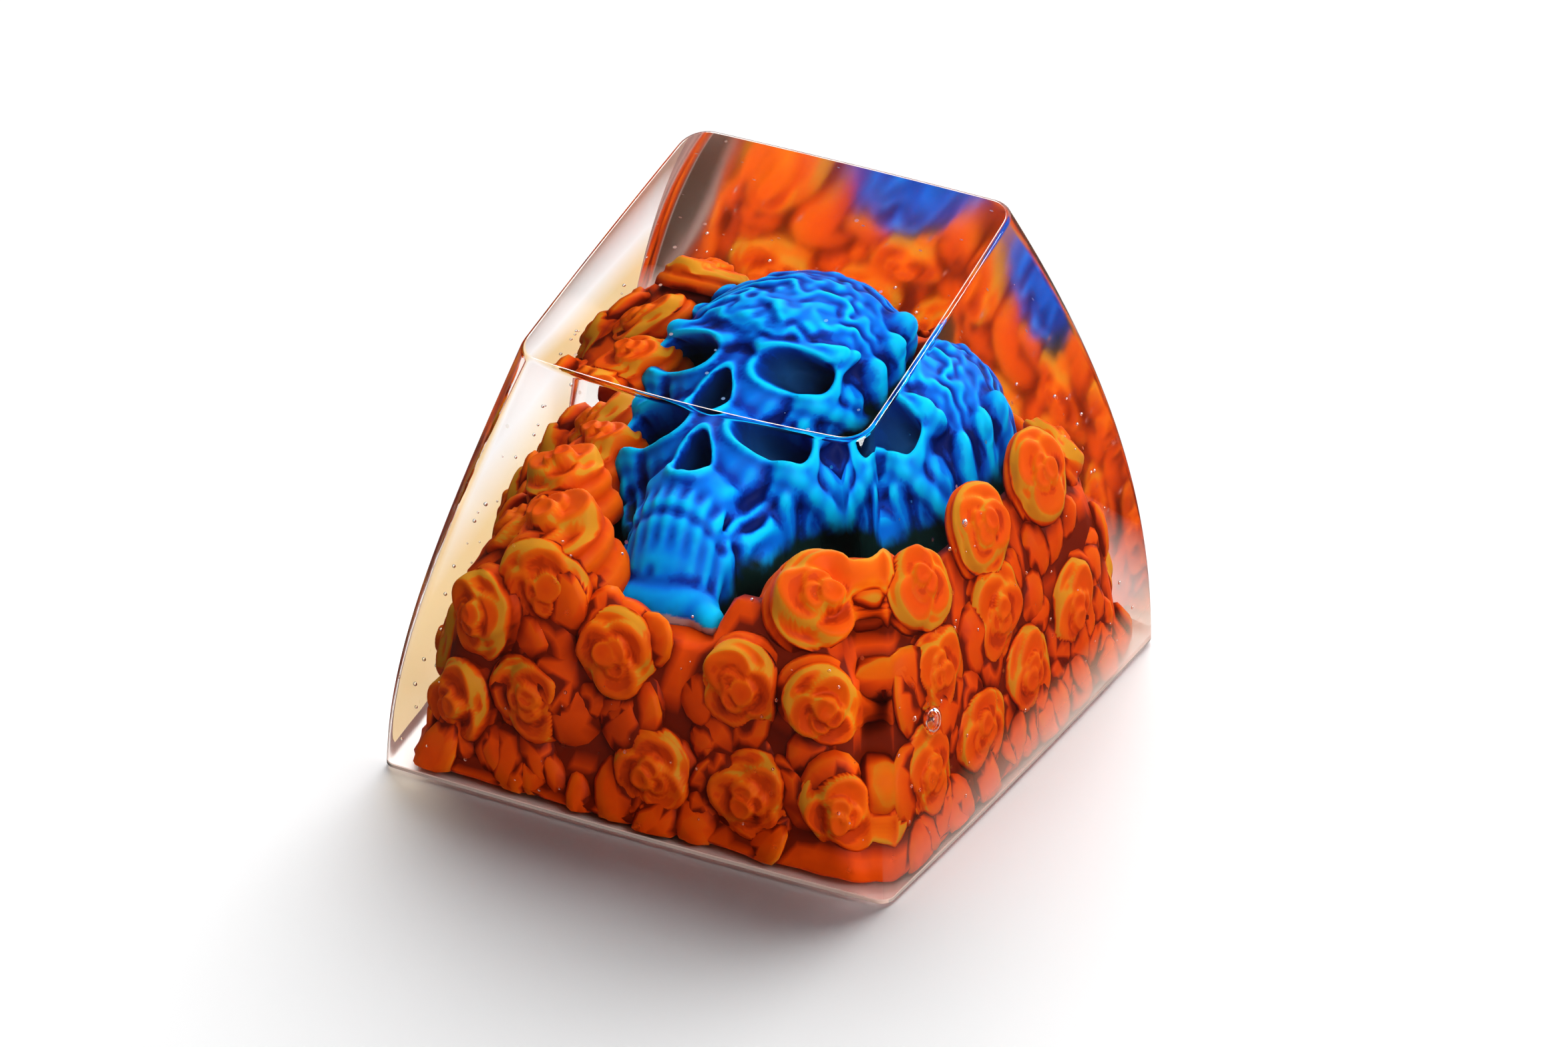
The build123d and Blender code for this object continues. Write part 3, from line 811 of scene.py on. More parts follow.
# %% [markdown]
# ## Carving the skull
# Sockets, nose and hollows are pressed in with soft brushes: each brush moves
# the points inside an oval towards one direction, most in the middle. Rims
# round the holes are raised with a ring-shaped brush. The carved skin is
# melted once more, because pressing stretches its faces.

# %% Brushes


def soft_step(low, high, value):
    """0 below low, 1 above high, and a smooth rise between."""
    t = np.clip((value - low) / (high - low), 0, 1)
    return t * t * (3 - 2 * t)


def press(points, centre, radii, move, edge=1.0):
    """Move the points inside an oval; edge is the share that fades out."""
    away = np.sqrt((((points - np.array(centre)) / np.array(radii)) ** 2).sum(1))
    weight = 1 - soft_step(1 - edge, 1, away)
    return points + weight[:, None] * np.array(move)


def socket_distance(points, hand):
    """1 on the outline of an eye socket, less inside it, seen from the front."""
    x = (points[:, 0] * hand - 2.0) / 1.18
    z = (points[:, 2] + 1.08 + 0.12 * x) / 0.82
    return (np.abs(x) ** 2.5 + np.abs(z) ** 2.5) ** (1 / 2.5)


def nose_distance(points):
    """1 on the outline of the pear-shaped nose hole, less inside it."""
    z = (points[:, 2] + 2.5) / 0.95
    half = 0.52 - 0.2 * z
    x = points[:, 0] / np.maximum(half, 0.1)
    return (np.abs(x) ** 2.2 + np.abs(z) ** 2.2) ** (1 / 2.2)


points = relaxed(points_of(skin), neighbours_of(skin), 4)
before_face = points[:, 1] < -1.5
for hand in (-1, 1):
    points = press(points, (hand * 3.75, -2.3, -0.5), (1.0, 1.3, 1.2), (-hand * 0.55, 0.25, 0))
    points = press(points, (hand * 2.3, -3.9, -3.6), (0.8, 1.0, 1.1), (-hand * 0.15, 0.4, 0))
    away = socket_distance(points, hand)
    pit = (1 - soft_step(0.72, 1.02, away)) * before_face
    points[:, 1] += 1.9 * pit
    rim = np.exp(-((away - 1.14) / 0.13) ** 2) * before_face
    points[:, 1] -= 0.2 * rim
away = nose_distance(points)
pit = (1 - soft_step(0.7, 1.05, away)) * (points[:, 1] < -2.8)
points[:, 1] += 1.5 * pit
points[:, 1] -= 0.22 * np.exp(-((away - 1.2) / 0.16) ** 2) * (points[:, 1] < -3)
points = press(points, (0, -5.0, -3.35), (0.16, 0.6, 0.22), (0, -0.5, 0.05))
points = press(points, (-0.3, -4.6, -7.0), (0.3, 0.5, 0.3), (0, 0.22, 0))
set_points(skin, points)
bm = bmesh.new()
bm.from_mesh(skin)
bpy.data.meshes.remove(skin)
skin = melted(bm, VOXEL)
print("carved skin faces:", len(skin.polygons))

# %% [markdown]
# ## Wrinkles and folds
# Wavy wrinkles run over the cranium, ridges run down its sides, and the cheeks
# hang in folds. Each could be drawn by hand in sculpt mode. Here each is a sine
# wave bent by noise, which pushes the points out and in along their normals.

# %% Wrinkles and folds
WRINKLE_PITCH, WRINKLE_DEPTH = 0.95, 0.085
FLOW_PITCH, FLOW_DEPTH = 1.6, 0.06
FOLD_PITCH, FOLD_DEPTH = 0.62, 0.13


def wrinkle(point):
    """Wavy ridges that run from side to side over the cranium."""
    p = Vector(point)
    arc = 4.0 * math.atan2(p.z + 1.0, -p.y + 0.8)
    bend = 0.75 * noise.noise(p * 0.75) + 0.35 * noise.noise(p * 1.9 + Vector((5, 1, 2)))
    ridge = math.sin(2 * math.pi * (arc + 1.15 * bend) / WRINKLE_PITCH)
    return ridge * (0.7 + 0.7 * noise.noise(p * 1.1 + Vector((9, 4, 7)))) + 0.6 * noise.noise(p * 1.7)


def flow(point):
    """Ridges that run down the sides of the head."""
    p = Vector(point)
    return math.sin(2 * math.pi * (0.5 * p.y + 0.87 * p.z + 0.8 * noise.noise(p * 0.5)) / FLOW_PITCH)


points = relaxed(points_of(skin), neighbours_of(skin), 3)
set_points(skin, points)
outward = normals_of(skin)
on_cranium = soft_step(-0.15, 0.6, points[:, 2] - 0.12 * points[:, 1] - 0.3)
on_cranium *= 1 - soft_step(2.6, 3.4, points[:, 1])
on_cranium *= 1 - 0.6 * soft_step(2.2, 3.2, np.abs(points[:, 0]))
for hand in (-1, 1):
    on_cranium *= np.clip(soft_step(1.15, 1.6, socket_distance(points, hand)) + (points[:, 1] > -1.5), 0, 1)
ridges = np.array([wrinkle(p) for p in points])
on_side = soft_step(2.7, 3.5, np.abs(points[:, 0])) * (1 - on_cranium) * soft_step(-2.6, -1.6, points[:, 1])
flows = np.array([flow(p) for p in points])
folds = np.zeros(len(points))
for hand in (-1, 1):
    across = 0.93 * points[:, 0] * hand - 0.38 * points[:, 2]
    near = ((points - np.array((hand * 2.3, -3.7, -4.3))) / np.array((1.3, 2.0, 2.0))) ** 2
    folds += np.sin(2 * math.pi * across / FOLD_PITCH) * np.exp(-2 * near.sum(1))
push = WRINKLE_DEPTH * on_cranium * ridges + FLOW_DEPTH * on_side * flows + FOLD_DEPTH * folds
points = points + outward * push[:, None]
points = relaxed(points, neighbours_of(skin), 1)
set_points(skin, points)
print("pushed by up to", round(float(np.abs(push).max()), 2), "mm")

# %% [markdown]
# ## Painting the relief
# Light blue lies over the ridges, where the painter wiped it on. The script measures how far each point
# stands above its smoothed surroundings and keeps that as an attribute, which the paint reads. Hollows and
# creases get painted shade in dark blue in the same attribute: the share of short rays that meet the skull
# again is taken off, and this also stands for a dark wash.

# %% Relief attributes


def keep_values(mesh, name, values):
    """Store one number per vertex on a mesh."""
    attribute = mesh.attributes.new(name, "FLOAT", "POINT")
    attribute.data.foreach_set("value", values.astype(np.float32))


CREVICE_RAYS = 10
drawn = random.Random(11)
ray_spread = []
for _ in range(CREVICE_RAYS):
    ray_spread.append(Vector((drawn.gauss(0, 1), drawn.gauss(0, 1), drawn.gauss(0, 1))).normalized())


# How closed in each point is; the paints use it as painted shade in hollows and folds.
def crevices(mesh, reach):
    """The share of short rays from each point that meet the mesh again."""
    mesh.update()
    tree = BVHTree.FromPolygons([v.co for v in mesh.vertices], [p.vertices for p in mesh.polygons])
    met = np.zeros(len(mesh.vertices))
    for i, (vert, normal) in enumerate(zip(mesh.vertices, mesh.vertex_normals)):
        start = vert.co + 0.02 * normal.vector
        for spread in ray_spread:
            if tree.ray_cast(start, (normal.vector + 0.98 * spread).normalized(), reach)[0] is not None:
                met[i] += 1
    return met / CREVICE_RAYS


ends = neighbours_of(skin)
outward = normals_of(skin)
fine = ((points - relaxed(points, ends, 14)) * outward).sum(1)
broad = ((points - relaxed(points, ends, 90)) * outward).sum(1)
# Painted shade: the more a point is closed in by the skull, the darker its blue.
relief_and_shade = 0.58 + 7.0 * fine + 1.2 * broad - 0.9 * crevices(skin, 1.2)
pits = np.zeros(len(points))
for hand in (-1, 1):
    in_socket = (1 - soft_step(0.7, 1.04, socket_distance(points, hand))) * (points[:, 1] < -1.0)
    pits = np.maximum(pits, in_socket)
pits = np.maximum(pits, (1 - soft_step(0.7, 1.05, nose_distance(points))) * (points[:, 1] < -2.0))
keep_values(skin, "pits", pits)
stood = points @ np.array(skull_stand.to_3x3()).T + np.array(skull_stand.translation)
# The blue is also made darker towards the back of the skull.
relief_and_shade -= 0.3 * soft_step(4.0, 7.0, stood[:, 1])
keep_values(skin, "relief_and_shade", np.clip(relief_and_shade, 0, 1))
# Where the skull sinks into the bed it turns black-green with a ragged edge: a dark joint, and painted shade
# between skull and roses.
ragged = np.array([noise.noise(Vector(p) * 1.6) + 0.5 * noise.noise(Vector(p) * 5) for p in stood])
edge_line = 7.4 - 0.95 * soft_step(2.5, 4.5, -stood[:, 1])
keep_values(skin, "sunk", 1 - soft_step(-0.45, 0.3, stood[:, 2] - edge_line + 0.3 * ragged))
chin_edge = np.exp(-((stood[:, 2] - 6.3) / 0.16) ** 2) * (stood[:, 1] < -4.6)
keep_values(skin, "bare", soft_step(0.3, 0.6, chin_edge * (1 + ragged)))
print("relief from", round(float(relief_and_shade.min()), 2), "to", round(float(relief_and_shade.max()), 2))

# %% Blue paint
BLUES = [(0.15, (0.0, 0.006, 0.09, 1)), (0.38, (0.0, 0.035, 0.34, 1)), (0.62, (0.0, 0.15, 0.68, 1)),
         (0.95, (0.0, 0.50, 0.90, 1))]
# Overpaints: navy in the sockets and nose, black-green at the joint with the bed (also painted shade), and
# the bare chin edge.
OVERPAINTS = [("pits", (0.008, 0.06, 0.19, 1)), ("sunk", (0.003, 0.016, 0.014, 1)),
              ("bare", (0.42, 0.30, 0.28, 1))]
BLUE_GRAIN, BLUE_DETAIL, BLUE_MOTTLE = 900, 3, 0.16
PAINT_GLOSS, PAINT_DULLNESS, PAINT_SPECULAR = 0.35, 0.6, 0.05


def read_values(tree, name):
    """The values that a mesh keeps under a name."""
    node = add_node(tree, "Attribute", {})
    node.attribute_name = name
    return node.outputs["Fac"]


def paint_over(tree, mask, below, color):
    """One colour laid over another where a mask says so."""
    node = tree.nodes.new("ShaderNodeMix")
    node.data_type = "RGBA"
    feed(tree, node, {"Factor": mask, "A": below, "B": color})
    return node.outputs["Result"]


def add_mottle(tree, grain, detail):
    """A cloudy noise, as brushed paint has."""
    return add_node(tree, "TexNoise", {"Vector": object_place(tree), "Scale": grain,
                                       "Detail": detail}).outputs["Fac"]


def brushed(tree, shader, color, mottle):
    """Paint in a colour, glossy and dull in clouds."""
    feed(tree, shader, {"Base Color": color, "Specular IOR Level": PAINT_SPECULAR,
                        "Roughness": add_range(tree, mottle, PAINT_GLOSS, PAINT_DULLNESS)})


blue_paint, tree, shader = node_material("blue_paint")
mottle = add_mottle(tree, BLUE_GRAIN, BLUE_DETAIL)
# The relief value holds the ridges, and painted shade in the hollows.
lower = add_math(tree, "SUBTRACT", read_values(tree, "relief_and_shade"), BLUE_MOTTLE / 2)
uneven = add_math(tree, "MULTIPLY_ADD", mottle, BLUE_MOTTLE, lower)
color = add_ramp(tree, uneven, BLUES)["Color"]
for name, cover in OVERPAINTS:
    color = paint_over(tree, read_values(tree, name), color, cover)
brushed(tree, shader, color, mottle)

bm = bmesh.new()
bm.from_mesh(skin)
bpy.data.meshes.remove(skin)
bmesh.ops.transform(bm, matrix=skull_stand, verts=bm.verts)
bmesh.ops.bisect_plane(bm, geom=bm.verts[:] + bm.edges[:] + bm.faces[:], dist=1e-4,
                       plane_co=(0, 0, SKULL_FLOOR), plane_no=(0, 0, 1), clear_inner=True)
bmesh.ops.holes_fill(bm, edges=[e for e in bm.edges if e.is_boundary], sides=0)
finish_piece("skull_figure", bm, blue_paint, "skull")

# %% [markdown]
# ## Petals and roses
# Each rose is cast in low relief: two broad petals, two rounds of three lobes
# laid like a pinwheel, and a small bud. Single petals could be stacked, but a
# cast rose is one soft skin with creases and no gaps. So each rose is a round
# grid whose height is the highest of its petals, with soft creases where they
# meet. Six roses are made this way and stamped many times. Two taller ones with
# flaring sides are for the crown and the front corners, and plain single petals
# fill the gaps.

# %% Single petals
PETAL_STEPS = 14


def ready_petal(thick, lip, wave):
    """A round petal of radius one with a raised lip, its rim marked for the paint and its underside marked
    for painted shade.
    """
    bm = bmesh.new()
    rim_and_shade_layer = bm.verts.layers.float.new("rim")
    bmesh.ops.create_uvsphere(bm, u_segments=PETAL_STEPS, v_segments=6, radius=1)
    for vert in bm.verts:
        away = math.hypot(vert.co.x, vert.co.y)
        angle = math.atan2(vert.co.y, vert.co.x)
        height = vert.co.z
        # Undersides get a low value: painted shade under the petal.
        vert[rim_and_shade_layer] = 0.48 + 0.3 * away ** 8 if height > -0.3 else 0.3
        vert.co.z = thick * height + lip * away ** 4 + wave * away ** 2 * math.sin(2 * angle + 0.7)
    return ready_mesh("petal", bm)


flat_petal = ready_petal(0.40, 0.0, 0.06)
lipped_petal = ready_petal(0.34, 0.06, 0.08)
print("faces in a petal:", len(flat_petal.polygons))

# %% Roses in relief
ROSE_KINDS = 6
ROSE_TURNS, ROSE_ROUNDS = 56, 27
ROSE_LAYERS = [(2, 0.17, 0.83, 0.0, 0.12), (3, 0.37, 0.52, 0.17, 0.10),
               (3, 0.17, 0.27, 0.33, 0.06), (1, 0.0, 0.10, 0.46, 0.0)]
CREASE_SHARPNESS = 70
ROSE_SMOOTHING = 2
ROUND_FROM, ROUND_DROP, EDGE_FALL = 0.6, 0.16, 2.2
LOW_SKIRT = [(1.0, -0.6), (1.08, -0.32), (1.06, -0.24), (0.96, -0.2), (0.99, -0.12), (1.03, -0.06)]
TALL_SKIRT = [(1.05, -1.3), (1.16, -0.9), (1.14, -0.72), (0.96, -0.66), (1.0, -0.5), (1.12, -0.38),
              (1.10, -0.22), (0.95, -0.18), (1.0, -0.08), (1.03, 0.0)]


def petal_plan(seed, rise):
    """A rose's round petals as (x, y, radius, height, dish), outer ones first."""
    dice = random.Random(seed)
    plan = []
    for count, away, radius, height, dish in ROSE_LAYERS:
        start = dice.uniform(0, 2 * math.pi)
        for k in range(count):
            turn = start + (k + dice.uniform(-0.12, 0.12)) * 2 * math.pi / count
            reach = away * dice.uniform(0.9, 1.1)
            plan.append((reach * math.cos(turn), reach * math.sin(turn), radius * dice.uniform(0.93, 1.07),
                         rise * (height + 0.05 * k), rise * dish))
    return plan


def rose_surface(plan, x, y):
    """The height of a rose at a spot and how much of a petal's rim lies there."""
    heights, rims = [], []
    for px, py, radius, height, dish in plan:
        wavy = 1 + 0.05 * math.sin(3 * math.atan2(y - py, x - px) + 9 * height)
        away = wavy * math.hypot(x - px, y - py) / radius
        edge = max(0, away - ROUND_FROM) / (1 - ROUND_FROM)
        heights.append(height + dish * min(away, 1) ** 2 - ROUND_DROP * edge ** 3
                       - EDGE_FALL * max(0, away - 1))
        rims.append(0.48 + 0.1 * min(away, 1) + 0.54 * math.exp(-((away - 0.97) / 0.075) ** 2))
    top = max(heights)
    shares = [math.exp(CREASE_SHARPNESS * (h - top)) for h in heights]
    return (top + math.log(sum(shares)) / CREASE_SHARPNESS,
            sum(a * b for a, b in zip(shares, rims)) / sum(shares))


def rose_reach(plan, turn):
    """How far the two outer petals reach in one direction."""
    reaches = []
    for px, py, radius, _, _ in plan[:2]:
        along = px * math.cos(turn) + py * math.sin(turn)
        reaches.append(along + math.sqrt(radius ** 2 - px ** 2 - py ** 2 + along ** 2))
    return max(reaches)


def ready_rose(seed, rise, skirt):
    """A closed rose of radius one, built as rings from its foot to its middle."""
    plan = petal_plan(seed, rise)
    turns = [2 * math.pi * k / ROSE_TURNS for k in range(ROSE_TURNS)]
    reach = [rose_reach(plan, turn) for turn in turns]
    bm = bmesh.new()
    rim_and_shade_layer = bm.verts.layers.float.new("rim")

    def spots(share, heights):
        return [Vector((r * share * math.cos(t), r * share * math.sin(t), height))
                for r, t, height in zip(reach, turns, heights)]

    foot_share, foot_height = skirt[0]
    ring = start_ring(bm, spots(foot_share, [foot_height] * ROSE_TURNS))
    bmesh.ops.contextual_create(bm, geom=ring)
    for share, height in skirt[1:]:
        ring = carry_ring(bm, ring, spots(share, [height] * ROSE_TURNS))
        for vert in ring:
            vert[rim_and_shade_layer] = 0.7 if share > 1.05 else 0.42
    for k in range(ROSE_ROUNDS):
        share = 1 - k / ROSE_ROUNDS
        surface = [rose_surface(plan, spot.x, spot.y) for spot in spots(share, [0] * ROSE_TURNS)]
        ring = carry_ring(bm, ring, spots(share, [height for height, _ in surface]))
        for vert, (_, rim) in zip(ring, surface):
            vert[rim_and_shade_layer] = rim
    bmesh.ops.contextual_create(bm, geom=ring)
    bmesh.ops.recalc_face_normals(bm, faces=bm.faces)
    # relaxed() takes rows of three numbers, so each rim value is given three times
    rims = np.array([[vert[rim_and_shade_layer]] * 3 for vert in bm.verts])
    mesh = ready_mesh("rose", bm)
    ends = neighbours_of(mesh)
    set_points(mesh, relaxed(points_of(mesh), ends, ROSE_SMOOTHING))
    mesh.attributes["rim"].data.foreach_set("value", relaxed(rims, ends, ROSE_SMOOTHING)[:, 0])
    return mesh


low_roses = [ready_rose(seed, 1.0, LOW_SKIRT) for seed in range(ROSE_KINDS)]
tall_roses = [ready_rose(seed, 1.3, TALL_SKIRT) for seed in range(ROSE_KINDS, ROSE_KINDS + 2)]
print("faces in a rose:", len(low_roses[0].polygons), "or", len(tall_roses[0].polygons))

# %% [markdown]
# ## The bed
# Under the roses lies a solid bed with a spreading foot, a bowl for the skull
# and a low place for its chin. From below it is hollow, because the room for the
# key switch reaches into it. As with the resin, one ring of vertices is carried
# along the whole surface, and a soft noise makes its walls lumpy.

# %% The bed below the roses
SKIN_ROOF, SKIN_HALF = 5.0, 6.8
BED_RINGS = [(SKIN_ROOF, 2.0), (SKIN_ROOF, 6.63), (0.25, SKIN_HALF), (0.25, 8.35), (0.4, 8.45),
             (0.9, 8.1), (1.5, 7.75), (3.0, 7.5), (4.6, 7.25), (6.2, 7.0), (6.8, 6.45), (7.3, 6.0),
             (7.6, 5.7), (7.6, 5.2), (7.0, 5.0), (6.2, 4.7), (5.6, 4.45), (5.6, 3.0), (5.6, 1.0)]
NOTCH_FLOOR = 6.15
LUMP_HEIGHT = 0.16
BED_FOOT, BED_FOOT_HALF = 0.25, 8.5
BED_WAIST, BED_WAIST_HALF = 1.5, 7.75
BED_SHOULDER, BED_SHOULDER_HALF = 6.2, 7.0


def bed_half(height):
    """How far the bed's wall stands from the middle at a height."""
    if height < BED_WAIST:
        return blend(BED_FOOT_HALF, BED_WAIST_HALF, (height - BED_FOOT) / (BED_WAIST - BED_FOOT))
    return blend(BED_WAIST_HALF, BED_SHOULDER_HALF, (height - BED_WAIST) / (BED_SHOULDER - BED_WAIST))


def bed_ring(height, half):
    """A round-cornered square outline of the bed, low in front of the chin."""
    outline = bowed_ring([(-half, -half), (half, -half), (half, half), (-half, half)], [0] * 4,
                         min(1.2, 0.5 * half))
    points = []
    for p in outline:
        notch = float(1 - soft_step(2.0, 2.7, abs(p.x - SKULL_PLACE[0]))) if p.y < 0 else 0
        lump = LUMP_HEIGHT * noise.noise(Vector((p.x, p.y, height)) * 0.9) if half > SKIN_HALF else 0
        grow = 1 + lump / half
        points.append(Vector((p.x * grow, p.y * grow, blend(height, min(height, NOTCH_FLOOR), notch))))
    return points


bm = bmesh.new()
rim_and_shade_layer = bm.verts.layers.float.new("rim")
ring = start_ring(bm, bed_ring(*BED_RINGS[0]))
bmesh.ops.contextual_create(bm, geom=ring)
for height, half in BED_RINGS[1:]:
    ring = carry_ring(bm, ring, bed_ring(height, half))
bmesh.ops.contextual_create(bm, geom=ring)
bmesh.ops.recalc_face_normals(bm, faces=bm.faces)
# The bowl under the skull gets the lowest value, painted shade under the skull; the bed's walls get a middle
# one.
for vert in bm.verts:
    inside = max(abs(vert.co.x), abs(vert.co.y)) < 5.5 and vert.co.z > SKIN_ROOF
    vert[rim_and_shade_layer] = -0.2 if inside else 0.46
BED_VERTS = len(bm.verts)
print("bed points:", BED_VERTS)

# %% [markdown]
# ## Placing the roses
# The roses of the front wall stand where the photograph shows them, and the
# other walls have a like pattern. A rose sits on the bed, or further in where
# the leaning wall would not cover it. Those on the shoulder and the crown lean
# back, as flowers do at the top of a bunch.

# %% Where the roses stand
FRONT_ROSES = [(-3.9, 6.75, 1.75), (-4.15, 3.25, 1.6), (-1.25, 5.4, 1.6), (3.2, 5.45, 1.6),
               (0.4, 1.95, 1.6), (3.9, 2.0, 1.7)]
CORNER_ROSES = [(-6.55, 2.45, 1.55), (5.95, 5.35, 1.5), (6.8, 2.3, 1.55), (-6.1, 5.4, 1.5)]
SIDE_ROSES = [(-5.2, 2.5, 1.6), (-1.9, 2.3, 1.6), (1.4, 2.6, 1.6), (4.7, 3.2, 1.7),
              (-3.7, 5.3, 1.6), (0.0, 5.3, 1.7)]
SHOULDER_ROSES = [(1, -3.4, 6.45, 7.8, 1.6), (1, 0.5, 6.45, 7.8, 1.6), (1, 4.3, 6.45, 7.8, 1.7),
                  (2, -5.0, 6.4, 7.4, 1.6), (2, 5.0, 6.4, 7.4, 1.6),
                  (3, -3.4, 5.7, 7.2, 1.6), (3, 0.5, 5.7, 7.2, 1.6), (3, 4.3, 5.7, 7.2, 1.7)]
CROWN_ROSES = [(-4.2, -5.0, 8.0, -60, 62, 1.9), (5.0, -5.2, 8.0, 39, 50, 1.8),
               (-4.9, -2.4, 8.5, -90, 68, 1.5), (-4.7, 0.8, 8.0, -90, 62, 1.4)]
WALL_LEAN, SHOULDER_LEAN, CORNER_TURN, CORNER_INSET = 4.6, 37, 31, 0.25
ROSE_DEPTH = 0.46
COVER = 0.15
dice = random.Random(7)


def facing(sideways, lean):
    """The direction a rose faces: to the front, turned sideways and up, in degrees."""
    level = math.cos(math.radians(lean))
    turn = math.radians(sideways)
    return Vector((level * math.sin(turn), -level * math.cos(turn), math.sin(math.radians(lean))))


def face_out(normal):
    """A turn that takes straight up to the given direction."""
    return Vector(normal).normalized().to_track_quat("Z", "Y").to_matrix().to_4x4()


def set_rose(kinds, quarter, along_wall, out, height, sideways, lean, radius):
    """Stamp one of the ready roses on a wall; quarter 0 is the front."""
    turn = Matrix.Rotation(quarter * math.pi / 2, 4, "Z")
    stamp(bm, dice.choice(kinds), turn @ Matrix.Translation((along_wall, -out, height))
          @ face_out(facing(sideways, lean))
          @ Matrix.Rotation(dice.uniform(0, 2 * math.pi), 4, "Z") @ Matrix.Scale(radius, 4))


def wall_stand(height, radius, top_reach, belly):
    """How far out a rose may sit so that the resin still covers it."""
    cover = wall_reach(height / (TOP_MIDDLE_HEIGHT - 1.5), top_reach, belly) - COVER - ROSE_DEPTH * radius
    return min(bed_half(height) + 0.1, cover)


for along_wall, z, radius in FRONT_ROSES:
    out = wall_stand(z, radius, TOP_FRONT_REACH, FRONT_BELLY)
    set_rose(low_roses, 0, along_wall, out, z, 0, WALL_LEAN, radius)
for along_wall, z, radius in CORNER_ROSES:
    out = wall_stand(z, radius, TOP_FRONT_REACH, FRONT_BELLY) - CORNER_INSET
    set_rose(tall_roses, 0, along_wall, out, z, math.copysign(CORNER_TURN, along_wall), WALL_LEAN, radius)
for quarter in (1, 2, 3):
    for along_wall, z, radius in SIDE_ROSES:
        out = wall_stand(z, radius, TOP_BACK_HALF, SIDE_BELLY)
        set_rose(low_roses, quarter, along_wall, out, z, 0, WALL_LEAN, radius)
for quarter, along_wall, out, z, radius in SHOULDER_ROSES:
    set_rose(low_roses, quarter, along_wall, out, z, 0, SHOULDER_LEAN, radius)
for x, y, z, sideways, lean, radius in CROWN_ROSES:
    set_rose(tall_roses, 0, x, -y, z, sideways, lean, radius)
print("faces of bed and roses:", len(bm.faces))

# %% [markdown]
# ## Loose petals
# Petals lie between the roses, and narrow leaf tips stand along the foot. They
# could be placed one by one. A seeded random draw scatters them instead, so
# that every run gives the same bed.

# %% Loose petals and leaf tips between the roses
LOOSE_PETALS, LEAF_TIPS = 36, 22
for quarter in range(4):
    turn = Matrix.Rotation(quarter * math.pi / 2, 4, "Z")
    for k in range(LOOSE_PETALS + LEAF_TIPS):
        leaf = k >= LOOSE_PETALS
        z = dice.uniform(0.45, 1.5) if leaf else dice.uniform(1.4, 6.3)
        size = dice.uniform(0.8, 1.4) if leaf else dice.uniform(0.8, 1.5)
        narrow = dice.uniform(0.45, 0.75) if leaf else dice.uniform(0.6, 1)
        lean = dice.uniform(15, 35) if leaf else dice.uniform(-8, 18)
        end = bed_half(z) - 0.7 * size
        spot = Vector((dice.uniform(-end, end), 0.14 - bed_half(z), z))
        stamp(bm, dice.choice((flat_petal, lipped_petal)), turn @ Matrix.Translation(spot)
              @ face_out(facing(dice.uniform(-25, 25), lean))
              @ Matrix.Rotation(dice.uniform(-0.6, 0.6), 4, "Z")
              @ Matrix.Diagonal((size * narrow, size, size, 1)))
print("faces with loose petals:", len(bm.faces))

# %% [markdown]
# ## Uneven casting
# A cast figure is never quite even, so a soft noise moves every point a little.
# This noise would start from the clock, so a seed makes every run the same.
# Points that would leave the clear resin, or reach into the hollow for the
# key switch, are moved back, because the resin has to cover the whole bed.

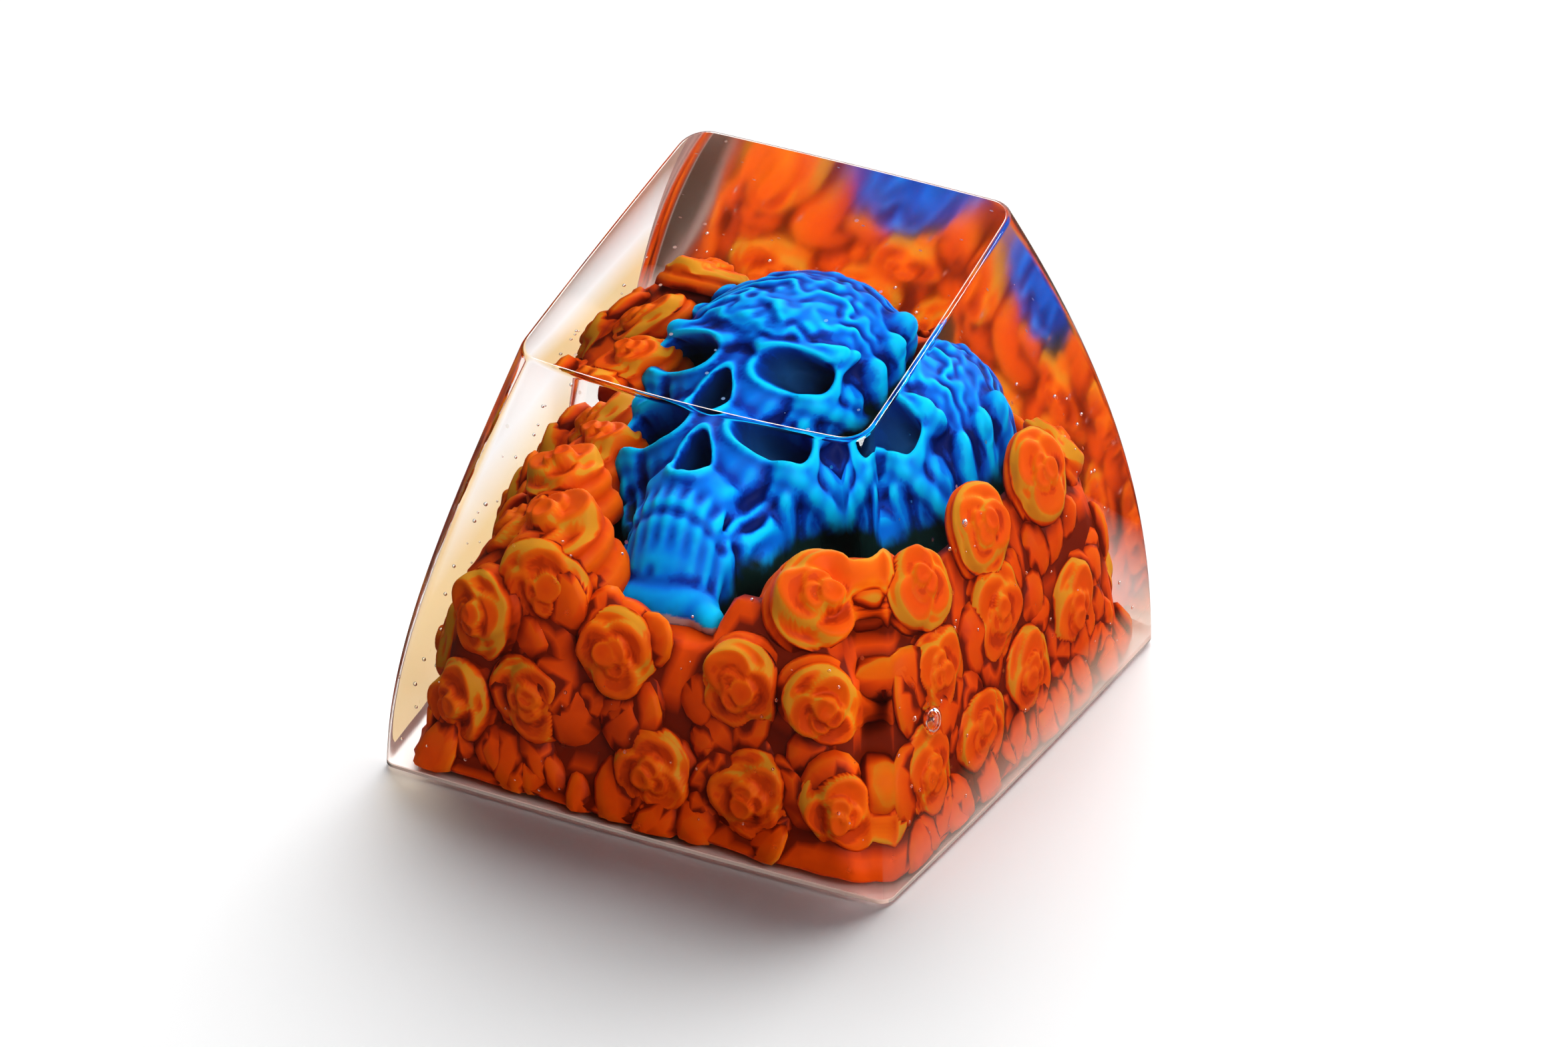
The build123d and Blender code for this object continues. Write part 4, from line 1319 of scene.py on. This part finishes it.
# %% Uneven, but kept inside the resin
UNEVEN, UNEVEN_SEED = 0.07, 1
FOOT_HEIGHT = 0.2
noise.seed_set(UNEVEN_SEED)
for number, vert in enumerate(bm.verts):
    away = max(abs(vert.co.x), abs(vert.co.y))
    if vert.co.z < SKIN_ROOF + 0.05 and away < SKIN_HALF + 0.05:
        if number >= BED_VERTS:
            vert.co.xy *= (SKIN_HALF + 0.05) / max(away, 1)
        continue
    broad, fine = noise.noise_vector(vert.co * 0.9), noise.noise_vector(vert.co * 2.6)
    vert.co += UNEVEN * broad + 0.4 * UNEVEN * fine
    vert.co.z = max(vert.co.z, FOOT_HEIGHT)
    share = vert.co.z / (TOP_MIDDLE_HEIGHT + TOP_SLOPE * vert.co.y)
    side_limit = wall_reach(share, min(TOP_FRONT_HALF, TOP_BACK_HALF), SIDE_BELLY) - COVER
    vert.co.x = max(-side_limit, min(side_limit, vert.co.x))
    vert.co.y = max(COVER - wall_reach(share, TOP_FRONT_REACH, FRONT_BELLY), vert.co.y)
    vert.co.y = min(wall_reach(share, TOP_BACK_REACH, BACK_BELLY) - COVER, vert.co.y)
relief_mesh = ready_mesh("rose_relief", bm)
# Painted shade in the folds: the share of short rays that meet the relief again, standing for a dark wash as
# well.
keep_values(relief_mesh, "wash_and_shade", crevices(relief_mesh, 0.5))
bm = bmesh.new()
bm.from_mesh(relief_mesh)
bpy.data.meshes.remove(relief_mesh)
print("points in the relief:", len(bm.verts))

# %% [markdown]
# ## Orange paint
# The roses were painted orange, with ochre brushed over the petal rims. The folds get painted shade in
# red-brown from how closed in each point is, which also stands for a wash, and petal undersides and the bowl
# under the skull are painted darker as shade. A picture could be painted on, but the mesh already knows its
# rims and folds, so one ramp turns both into colour.

# %% Orange paint
ORANGES = [(0.0, (0.14, 0.008, 0.0, 1)), (0.3, (0.40, 0.026, 0.0, 1)), (0.62, (0.66, 0.056, 0.0, 1)),
           (0.88, (0.74, 0.125, 0.001, 1)), (1.0, (0.62, 0.24, 0.012, 1))]
ORANGE_GRAIN, ORANGE_DETAIL, ORANGE_MOTTLE = 700, 4, 0.3
WASH_AND_SHADE_DEPTH = 1.5
orange_paint, tree, shader = node_material("orange_paint")
mottle = add_mottle(tree, ORANGE_GRAIN, ORANGE_DETAIL)
# The folds are darkened by painted shade, and the rims are lifted towards ochre.
washed_and_shaded = add_math(tree, "MULTIPLY_ADD", read_values(tree, "wash_and_shade"), -WASH_AND_SHADE_DEPTH, read_values(tree, "rim"))
uneven = add_math(tree, "MULTIPLY_ADD", mottle, ORANGE_MOTTLE, washed_and_shaded)
brushed(tree, shader, add_ramp(tree, uneven, ORANGES)["Color"], mottle)
finish_piece("rose_relief", bm, orange_paint, "rose_bed")
